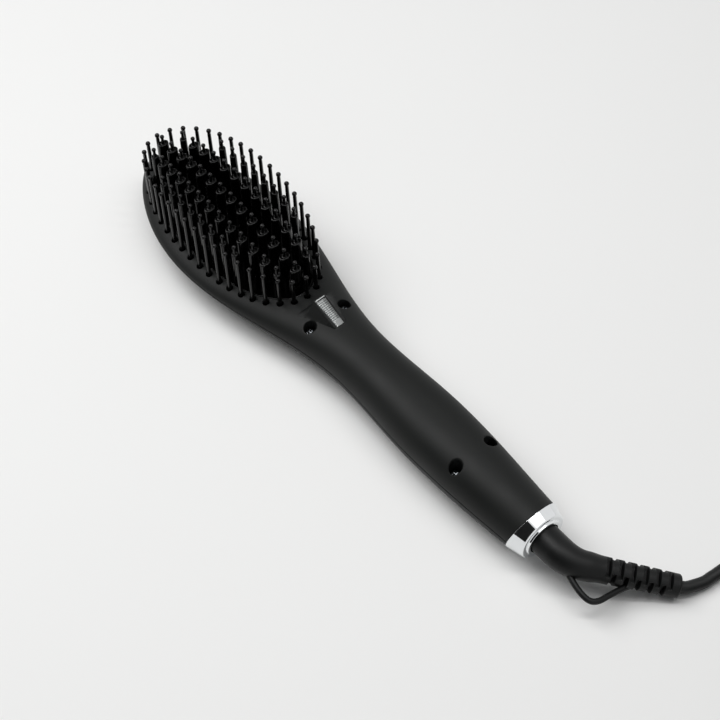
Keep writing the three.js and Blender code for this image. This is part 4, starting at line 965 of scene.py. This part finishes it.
def lens_rows():
    """Lens as cross-sections along the ridge. Its top is a lip, a groove, then a row of rounded ribs
    whose height is the size of a sine, then a plain end. Its sides draw in evenly to the rear, and the
    near side also bows in by half a sine."""
    ribbed = np.linspace(RIBS_FROM, RIBS_TO, 169)
    along = np.concatenate([[LENS_START, 0.56, 0.68, 1.0, 1.12, 1.2, 1.42, 1.5], ribbed,
                            [12.2, 12.4, 14.5, 14.72, 14.86]])
    rib = 0.28 - 0.3 * np.abs(np.sin(np.pi * (along - RIBS_FROM) / RIB_PITCH)) ** 0.7
    top = np.where((along > RIBS_FROM) & (along < RIBS_TO), rib, 0.2)
    top = np.where(along < 1.1, 0.5, top)
    top = np.where((along > 1.15) & (along < 1.45), -0.25, top)
    top = top - np.where((along < 0.54) | (along > 14.8), 0.2, 0.0)
    share = (along - LENS_START) / LENS_RUN
    half = 2.45 - 0.55 * share
    bow = 0.38 * np.sin(np.pi * share)
    shape = np.array([[-1, 0], [-1, 0.82], [-0.96, 0.95], [-0.88, 1], [-0.5, 1], [0, 1], [0.5, 1], [0.88, 1],
                      [0.96, 0.95], [1, 0.82], [1, 0], [0, 0]])
    aside = half[:, None] * shape[None, :, 0] + bow[:, None] * np.clip(-shape[None, :, 0], 0, 1)
    rise = -1.6 + (top[:, None] + 1.6) * shape[None, :, 1]
    return on_ridge(along[:, None], aside, rise)


def lens_with_painted_light():
    """Milky lens with painted light and shade that follow its moulding, in millimetres from the
    ridge's head end.

    A painted highlight makes the lip bright and painted shade makes the groove behind it dark. Over the
    ribs the tone is a product of two sines, one along and one across, and painted shade darkens it towards
    the far side. The last part is plain grey.
    """
    material = finish_of("ribbed_polycarbonate_lens_painted_light", "#a9adac", "#c3c6c5", 0.2, 0.05, 0.5, 0.0, 1.4,
                         **{"IOR": 1.585, "Coat Weight": 0.3})
    tree = material.node_tree
    colour_in, tint = fed(tree, "BSDF_PRINCIPLED", "Base Color")
    where = add(tree, "ShaderNodeSeparateXYZ", {0: add(tree, "ShaderNodeTexCoord").outputs["Object"]})

    def times(a, b):
        return math_of(tree, "MULTIPLY", a, b)

    def rest(value):
        return math_of(tree, "SUBTRACT", 1.0, value)

    def wave(value, pitch):
        return math_of(tree, "SINE", times(value, 2 * math.pi / pitch))

    def share(value, low, high):
        return mapped(tree, value, low, high)

    head = (WEDGE_RIDGE - BODY_LENGTH / 2) / 1000
    along = math_of(tree, "MULTIPLY_ADD", where.outputs["X"], 1000.0, -1000.0 * head)
    aside = times(where.outputs["Y"], 1000.0)
    cells = share(math_of(tree, "ADD", wave(along, 0.852), times(wave(aside, 1.15), 0.55)), -1.3, 1.1)
    # Painted shade: the tone falls by up to 62 percent towards the far side
    far = rest(times(share(aside, 0.1, 1.3), 0.62))
    over_ribs = times(math_of(tree, "MULTIPLY_ADD", cells, 0.6, 0.4), far)
    plain = share(along, 11.4, 11.6)
    tone = math_of(tree, "ADD", times(over_ribs, rest(plain)), times(plain, 0.42))
    # Painted shade: the groove behind the lip is darkened by up to 93 percent
    groove = times(share(along, 1.02, 1.1), rest(share(along, 1.36, 1.46)))
    tone = times(tone, rest(times(groove, 0.93)))
    # Painted highlight: the lip is 1.15 times as bright as the lens colour
    tone = math_of(tree, "MAXIMUM", tone, times(rest(share(along, 0.98, 1.05)), 1.15))
    shade = add(tree, "ShaderNodeVectorMath", {0: tint, "Scale": tone}, operation="SCALE")
    tree.links.new(shade.outputs[0], colour_in)
    return material


# Clear polycarbonate lens over a white light guide: a painted highlight on the lip, painted shade in the
# groove and towards the far side, brick-like ribs and a plain grey tail
lens_material_with_painted_light = lens_with_painted_light()
piece("ribbed_lens", *placed(*swept(lens_rows())), lens_material_with_painted_light, "brush", ["light_lens"], "clear_lens")


# Screws, collar, display window and buttons


def screw(x, y):
    """Pan-head screw: a shallow dome over the head, sunk where a cross lies, a shank and a blunt tip.

    The cross is two strips; its depth fades in over a tenth of a millimetre at the strips' sides.
    """
    face = WELL_FLOOR + 0.3
    radius = np.concatenate([np.linspace(0.02, 1.55, 20),
                             [1.75, 1.95, 2.12, 2.24, 2.3, 2.3, 2.2, 1.4, 1.25, 1.25, 0.6]])
    dome = face + 1.6 - 0.55 * (np.minimum(radius, 2.3) / 2.3) ** 4
    height = np.concatenate([dome[:24], [face + 0.7, face + 0.1, face, face - 0.05, face - 0.3, face - 11.0,
                                         face - 11.95]])
    px, py = radius[:, None] * np.cos(around(72)), radius[:, None] * np.sin(around(72))

    def strip(across, along):
        return np.clip((0.36 - np.abs(across)) / 0.1, 0, 1) * np.clip((1.42 - np.abs(along)) / 0.15, 0, 1)

    sunk = np.maximum(strip(px, py), strip(py, px)) * (radius < 1.7)[:, None]
    z = height[:, None] - 0.95 * sunk * (1 - 0.3 * np.hypot(px, py))
    return placed(*swept(np.stack([x + px, y + py, z], -1)))


for (x, y), name in zip(BODY_SCREWS, ("head_left", "head_right", "handle_left", "handle_right")):
    piece(f"body_screw_{name}", *screw(x, y), headed_steel, "brush", [f"screw_{name}"], "steel")

CONE_END, CONE_RUN, SLEEVE_RADIUS = 257.0, 6.4, 9.1
collar_profile = rounded(
    [[240.0, 8.2], [240.0, SLEEVE_RADIUS], [250.6, SLEEVE_RADIUS], [250.6, 12.7], [257.45, 11.0],
     [257.9, 10.45], [257.9, 8.75], [258.7, 8.55], [258.7, 7.15], [254.2, 7.15], [254.2, 8.2]],
    np.array([0.1, 0.2, 0.05, 0.16, 0.2, 0.14, 0.05, 0.22, 0.2, 0.1, 0.1]), 5)
collar_points, collar_faces = turned_on_x(collar_profile, 160)
# The front edge leans as the shell's end does, and the lean fades out along the cone
off_axis = np.hypot(collar_points[:, 1], collar_points[:, 2])
lean = np.clip((CONE_END - collar_points[:, 0]) / CONE_RUN, 0, 1) * (off_axis > SLEEVE_RADIUS + 0.05)
collar_points[:, 0] += END_TILT * collar_points[:, 2] * lean
piece("chrome_collar", place(collar_points), collar_faces, chrome, "brush", ["collar_ring"], "chrome")

glass_outer = -float(skin(np.array([DISPLAY_AT]), np.array([4.5]), False)[0])
pane = slab(DISPLAY_AT - 7, DISPLAY_AT + 7, -4.5, 4.5, glass_outer, glass_outer + 1.5, 1.4, 0.15)
piece("display_pane", *pane, smoked_acrylic, "brush", ["display_window"], "window_black")


def button(name, x, r):
    """Button turned upright: a dished face with a rolled edge, a straight side, a lip and a short stem."""
    low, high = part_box(f"{name}_button")
    face = low.z * 1000 - LIFT
    stem_top = high.z * 1000 - LIFT
    reach = np.array([x - r - 1, x, x + r + 1])
    lip = 0.3 - float(skin(reach, np.full(3, r + 1), False, WALL).min())
    profile = [[0.02, face + 0.22], [r * 0.5, face + 0.17], [r - 0.75, face + 0.02], [r - 0.5, face],
               [r - 0.3, face + 0.03], [r - 0.12, face + 0.14], [r - 0.03, face + 0.28], [r, face + 0.5],
               [r, lip + 0.05], [r + 0.9, lip], [r + 1, lip + 0.1], [r + 1, lip + 0.9], [r + 0.9, lip + 1],
               [1.6, lip + 1], [1.5, lip + 1.1], [1.5, stem_top - 0.1], [1.4, stem_top]]
    piece(f"{name}_key", *placed(*turned_upright(x, 0, profile, 72)), soft_touch, name,
          [f"{name}_button"], "soft_touch_black")
    return face


def bar(x, length, width, low, high, turn=0.0):
    """Flat rounded bar for a legend, turned in the plan by the given angle."""
    box = rounded(rectangle(length / 2, width / 2), 0.2, 3)
    c, s = math.cos(turn), math.sin(turn)
    plan = box @ np.array([[c, s], [-s, c]]) + [x, 0]
    return placed(*swept(np.stack([at_height(plan, z) for z in (low, high)])))


faces_at = {name: button(name, x, radius) for name, x, radius in BUTTONS}
button_at = {name: x for name, x, _ in BUTTONS}
for name, turns in (("plus", (0, math.pi / 2)), ("minus", (math.pi / 2,))):
    x, floor = button_at[name], faces_at[name]
    bars = [bar(x, 2.6, 0.5, floor + 0.13 + 0.01 * i, floor + 0.6, turn) for i, turn in enumerate(turns)]
    piece(f"{name}_legend", *merged(*bars), legend_ink, name)
power_at, floor = button_at["power"], faces_at["power"]
low, high = floor + 0.13, floor + 0.6
sweep_angle = np.linspace(math.radians(40), math.radians(320), 40)
arc_section = rounded([[1.15, low], [1.6, low], [1.6, high], [1.15, high]], 0.05, 1)
arc = np.stack([np.stack([power_at + arc_section[:, 0] * math.cos(a), arc_section[:, 0] * math.sin(a),
                          arc_section[:, 1]], -1) for a in sweep_angle])
stroke = bar(power_at + 1.15, 1.5, 0.45, floor + 0.12, high)
piece("power_legend", *merged(placed(*swept(arc)), stroke), legend_ink, "power")


# Boot with its ribbed relief and hanging loop

boot_angle = math.acos(LEG[0])
BEND_RADIUS, STEM_RADIUS, ELBOW_RADIUS, RELIEF_RADIUS, RELIEF_DRAW = 16, 6.7, 5.95, 5.35, 0.55
RELIEF_RUN, RELIEF_PITCH, RELIEF_FLOOR, RELIEF_WINDOW = 31, 5, 2.1, 0.98
RELIEF_REACH, RELIEF_FADE = math.radians(54), math.radians(6)
boot_tangent = BEND_RADIUS * math.tan(boot_angle / 2)
bend_side = np.array([0, LEG[1], LEG[2]]) / math.hypot(LEG[1], LEG[2])
relief_from = BOOT_LEG - RELIEF_RUN


def boot_path():
    """Places, radii and leg lengths of the boot: straight, an arc of the bend radius, then the leg."""
    start = 245.7
    straight_end = BOOT_CORNER[0] - boot_tangent
    lead = np.array([start, start + 0.2, 253.6, 253.8, 253.82, 254.2, 257.5, straight_end - 0.5])
    lead_r = np.array([7.55, 7.75, 7.75, 7.6, STEM_RADIUS + 0.05, *[STEM_RADIUS] * 3])
    lead_points = np.column_stack([lead, np.zeros(len(lead)), np.zeros(len(lead))])
    share = np.linspace(0, 1, 30)
    turn = boot_angle * share
    arc = (np.array([straight_end, 0, 0]) + np.outer(BEND_RADIUS * np.sin(turn), [1, 0, 0])
           + np.outer(BEND_RADIUS * (1 - np.cos(turn)), bend_side))
    arc_r = ease(STEM_RADIUS, ELBOW_RADIUS, share)
    leg = np.concatenate([np.linspace(boot_tangent + 0.6, relief_from - 0.6, 8),
                          np.arange(relief_from - 0.4, BOOT_LEG - 1.0, 0.16),
                          BOOT_LEG - np.array([0.92, 0.75, 0.5, 0.25, 0.08, 0.0])])
    leg_points = BOOT_CORNER + leg[:, None] * LEG
    taper = RELIEF_RADIUS - RELIEF_DRAW * np.clip((leg - relief_from) / 30, 0, 1)
    smooth = ease(ELBOW_RADIUS, RELIEF_RADIUS, (leg - boot_tangent) / (relief_from - boot_tangent))
    leg_r = np.where(leg < relief_from, smooth, taper)
    nose = np.clip((leg - (BOOT_LEG - 1.0)) / 1.0, 0, 1)
    leg_r = leg_r - 1.0 * (1 - np.sqrt(1 - nose ** 2 * 0.999))
    return (np.concatenate([lead_points, arc, leg_points]), np.concatenate([lead_r, arc_r, leg_r]),
            np.concatenate([np.full(len(lead) + len(arc), -1.0), leg]))


def boot_rings(sides=96):
    """Round rings, with slots in the relief. Each slot's floor is flat, 2.1 mm off the axis, over the
    angles where the skin is further out; slots on the top and bottom alternate with slots on the sides."""
    path, radius, leg = boot_path()
    angle = around(sides)
    out = np.broadcast_to(radius[:, None], (len(radius), sides)).copy()
    for lag, first in ((0.25, 0.0), (0.75, math.pi / 2)):
        for i in range(6):
            centre = relief_from + (i + lag) * RELIEF_PITCH
            if BOOT_LEG - centre < 2.4:
                continue
            window = np.clip((RELIEF_WINDOW - np.abs(leg - centre)) / 0.16, 0, 1)[:, None]
            for turn in (first, first + math.pi):
                off = (angle - turn + np.pi) % (2 * np.pi) - np.pi
                flat = RELIEF_FLOOR / np.maximum(np.cos(off), 0.3)
                fade = np.clip((RELIEF_REACH - np.abs(off)) / RELIEF_FADE, 0, 1)[None]
                cut = np.minimum(out, flat[None])
                out = out + (cut - out) * window * fade
    return carried(path, np.stack([out * np.sin(angle), out * np.cos(angle)], -1))


def loop_rings(sides=24):
    """Thin loop on the boot's outer side, through eight points in the leg's own frame, round in section."""
    aside = np.array([LEG[1], -LEG[0], 0]) / math.hypot(LEG[0], LEG[1])
    pairs = np.array([[-0.5, 2.5], [2, 6.6], [5.5, 10.9], [9.2, 13.3], [12.6, 12.6], [16.2, 9.7], [20, 6.5],
                      [24.5, 3]])
    line = through(BOOT_CORNER + pairs[:, :1] * LEG + pairs[:, 1:] * aside - [0, 0, 2.2], 70)
    angle = around(sides)
    ends = np.abs(np.linspace(-1, 1, 70))
    radius = 1.26 + 0.35 * np.clip((ends - 0.7) / 0.3, 0, 1) ** 2
    ring = radius[:, None, None] * np.stack([np.sin(angle), np.cos(angle)], -1)
    return carried(line, ring)


for name, rings in (("swivel_boot", boot_rings()), ("hanging_loop", loop_rings())):
    piece(name, *placed(*swept(rings)), satin_pvc, "cord", ["cord_boot"], "rubber_black")


# Plug, its pins and the tie round the coil


def plug_rings(sides=64):
    """Sections of a flat two-pin plug: superellipses that widen from the cord to the pin face, with
    five shallow grooves round the neck and a waist for the fingers on the flat body."""
    along = np.concatenate([np.linspace(0, 13, 66), np.linspace(13.2, 34, 53), [34.25, 34.3]])
    half_wide = np.interp(along, [0, 1, 11.2, 14.5, 20, 28, 33.2, 34, 34.3],
                          [3.1, 3.5, 4.4, 7.2, 9.6, 14, 16.9, 16.9, 15.6])
    half_high = np.interp(along, [0, 1, 11.2, 15.5, 24, 33.2, 34, 34.3],
                          [3.1, 3.5, 4.2, 6.5, 6.8, 6.8, 6.5, 5.2])
    power = np.interp(along, [0, 12, 18, 34.3], [2, 2, 2.7, 3.2])
    groove = 0.45 * np.clip(np.cos(2 * np.pi * along / 2.2) * 2.2, 0, 1) * (along > 1.4) * (along < 11.4)
    grip = 0.35 * np.clip(np.sin(2 * np.pi * (along - 19) / 2.6), 0, 1) * (along > 19) * (along < 29.4)
    angle = around(sides)
    wide = (half_wide - groove)[:, None] * signed_power(np.cos(angle), 2 / power[:, None])
    high = (half_high - groove - grip)[:, None] * signed_power(np.sin(angle), 2 / power[:, None])
    return np.stack(np.broadcast_arrays(PLUG[0] + wide, (PLUG[1] - along)[:, None], PLUG[2] + high), -1)


def laid(points, faces):
    """The same shape in metres, for points that are in the row frame but in millimetres."""
    return points / 1000, faces


plug = piece("two_pin_plug", *laid(*swept(plug_rings())), satin_pvc, "cord", ["plug_body"], "rubber_black")


def lying_pin(x, start, profile):
    """Rod along -Y from radius and distance pairs."""
    angle = around(32)
    radius, along = np.array(profile).T
    rows = np.stack(np.broadcast_arrays(x + radius[:, None] * np.cos(angle), start - along[:, None],
                                        PLUG[2] + radius[:, None] * np.sin(angle)), -1)
    return laid(*swept(rows))


PLUG_LENGTH, PLUG_PIN_ASIDE = 34.3, 9.15
plug_extras = [plug]
for name, side in (("left", -1), ("right", 1)):
    x, start = PLUG[0] + side * PLUG_PIN_ASIDE, PLUG[1] - PLUG_LENGTH
    tip = piece(f"plug_pin_tip_{name}", *lying_pin(x, start, [
        [1.9, 9.9], [1.98, 10.0], [1.98, 17.4], [1.85, 18.2], [1.45, 18.8], [0.9, 19.0]]), nickel,
        "cord", [f"plug_pin_{name}"], "steel")
    sleeve = piece(f"plug_pin_sleeve_{name}", *lying_pin(x, start, [
        [1.7, 0.0], [1.99, 0.1], [1.99, 9.8], [1.8, 9.88]]), pin_nylon,
        "cord", [f"plug_pin_{name}"], "pin_black")
    plug_extras += [tip, sleeve]


TIE_REACH, TIE_HALF_WIDE, TIE_HALF_THICK = 3.2, 2.5, 0.38


def tie_rows():
    """Flat tie round the two lower layers of the coil: a thin rounded band carried round a rounded
    rectangle over the +Y side."""
    inner, outer = COIL_INNER - TIE_REACH, COIL_OUTER + TIE_REACH
    low, high = 0.9, COIL_FLOOR + COIL_STEP + 2.8
    middle = np.array([(inner + outer) / 2, (low + high) / 2])
    half = np.array([(outer - inner) / 2 + 0.4, (high - low) / 2 + 0.4])
    box = rounded(rectangle(*half), 1.6, 6)
    unit = np.concatenate([np.linspace(a, b, 5)[:-1] for a, b in zip(box, np.roll(box, -1, 0))])
    across = rounded(rectangle(TIE_HALF_WIDE, TIE_HALF_THICK), 0.35, 3)
    ring_y = middle[0] + unit[:, :1] * (1 + across[None, :, 1] / half[0])
    ring_z = middle[1] + unit[:, 1:] * (1 + across[None, :, 1] / half[1])
    return np.stack(np.broadcast_arrays(COIL[0] + across[None, :, 0], COIL[1] + ring_y, ring_z), -1)


tie_piece = piece("coil_twist_tie", *laid(*hooped(tie_rows())), cord_pvc, "cord", ["coil_tie"], "tie_black")


# Finishes of the inner pieces, which stay as the CAD has them

inner_finishes = {
    zinc_steel: ["heater_clamp", "clamp_screw_front", "clamp_screw_rear", "plate_screw_left",
                 "plate_screw_right", "thermal_fuse", "board_screw_front", "board_screw_rear"],
    alumina: ["ptc_heater", "temperature_sensor"],
    mica: ["heat_shield"],
    board: ["control_board"],
    grey_nylon: ["display_module", "plus_switch", "power_switch", "minus_switch", "contact_carrier"],
    lamp_epoxy: ["indicator_lamp"],
    brass: ["live_contact", "neutral_contact"],
    red_silicone: ["live_lead", "heater_lead_left", "heater_lead_right"],
    blue_pvc: ["neutral_lead"],
}
for material, names in inner_finishes.items():
    for name in names:
        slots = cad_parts[name].data.materials
        slots.clear()
        slots.append(material)


# Floor, world and lamps

FLOOR_HALF, FLOOR_Z = 3, -0.0002
BACKDROP, BACKDROP_NEAR, BACKDROP_FAR = "#ececec", 0.36, 0.8


def sheet(name, corners, material):
    """Flat sheet between four corners in metres."""
    mesh = bpy.data.meshes.new(name)
    mesh.from_pydata([tuple(corner) for corner in np.asarray(corners, float).tolist()], [], [(0, 1, 2, 3)])
    mesh.materials.append(material)
    return linked(name, mesh)


# Matt white card: almost even, with the faintest cloud of tone
floor_paint = finish_of("matt_white_card", "#f1f1f0", "#efefee", 0.9, 0.03, 2.0, 0.0, 220.0, **{"IOR": 1.3})
studio_floor = sheet("studio_floor", at_height(rectangle(FLOOR_HALF, FLOOR_HALF), FLOOR_Z), floor_paint)
studio_floor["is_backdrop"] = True


def pale_to_the_eye(tree, surface, far, even_kind):
    """Mixes a surface with an even pale grey: to camera, glossy and transmission rays it is that grey, by
    the share far, and to all other rays it stays as it is."""
    path = add(tree, "ShaderNodeLightPath").outputs
    seen = math_of(tree, "MAXIMUM", path["Is Camera Ray"], path["Is Glossy Ray"])
    seen = math_of(tree, "MAXIMUM", seen, path["Is Transmission Ray"])
    even = add(tree, even_kind, {"Color": linear(BACKDROP), "Strength": 1.0})
    return add(tree, "ShaderNodeMixShader", {
        0: math_of(tree, "MULTIPLY", seen, far), 1: surface, 2: even.outputs[0]}).outputs[0]


# Beyond the space round the brush the card runs out into the even pale backdrop
tree = floor_paint.node_tree
place_on_card = add(tree, "ShaderNodeTexCoord").outputs["Object"]
distance = add(tree, "ShaderNodeVectorMath", {0: place_on_card}, operation="LENGTH").outputs["Value"]
far = mapped(tree, distance, BACKDROP_NEAR, BACKDROP_FAR, 0.0, 0.999, interpolation_type="SMOOTHSTEP")
surface_in, card_surface = fed(tree, "OUTPUT_MATERIAL", "Surface")
tree.links.new(pale_to_the_eye(tree, card_surface, far, "ShaderNodeEmission"), surface_in)

world = bpy.data.worlds.new("studio")
bpy.context.scene.world = world
world.use_nodes = True
tree = world.node_tree
tree.nodes.clear()
fill = add(tree, "ShaderNodeBackground", {"Color": linear("#f4f6f8"), "Strength": 0.12})
add(tree, "ShaderNodeOutputWorld", {
    "Surface": pale_to_the_eye(tree, fill.outputs[0], 1.0, "ShaderNodeBackground")})


def facing(where, aim):
    """Side, up and back axes of something at where that looks to aim."""
    back_way = np.array(where, float) - aim
    back_way /= np.linalg.norm(back_way)
    side = np.cross([0.05, 0.05, 1], back_way)
    side /= np.linalg.norm(side)
    return side, np.cross(back_way, side), back_way


def softbox(name, where, aim, size, power):
    """Rectangular area lamp that looks from where to aim."""
    data = bpy.data.lights.new(name, "AREA")
    data.shape = "RECTANGLE"
    data.size, data.size_y = size
    data.energy = power
    linked(name, data).matrix_world = standing_at(where, *facing(where, aim))


def dark_card(name, where, aim, size):
    """Matt black card that only reflections show, as a dark patch; it takes no light off the object."""
    side, up, _ = facing(where, aim)
    card = sheet(name, np.array(where) + rectangle(size / 2, size / 2) @ np.array([side, up]), card_black)
    card.visible_camera = card.visible_diffuse = card.visible_shadow = False
    card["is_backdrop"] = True


# Black felt card: takes the light and gives none back
card_black = finish_of("black_felt_card", "#0a0a0a", "#0e0e0e", 0.95, 0.03, 1.0, 0.0, 60.0)
softbox("key_softbox", (-0.62, -0.33, 1.1), (0, 0, 0), (0.9, 0.9), 11.6)
softbox("overhead_panel", (0.2, 0.15, 1.2), (0.2, 0.1, 0), (1.1, 1.3), 4.0)
softbox("overhead_strip", (0.14, 0.12, 1.1), (0.14, 0.12, 0), (0.06, 0.85), 2.4)
dark_card("near_side_card", (0.16, -0.62, 0.42), (0.12, 0, 0), 1.0)
dark_card("far_side_card", (-0.62, 0.5, 0.95), (0, 0, 0), 0.8)

bpy.context.scene.view_settings.view_transform = "Standard"

low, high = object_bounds()
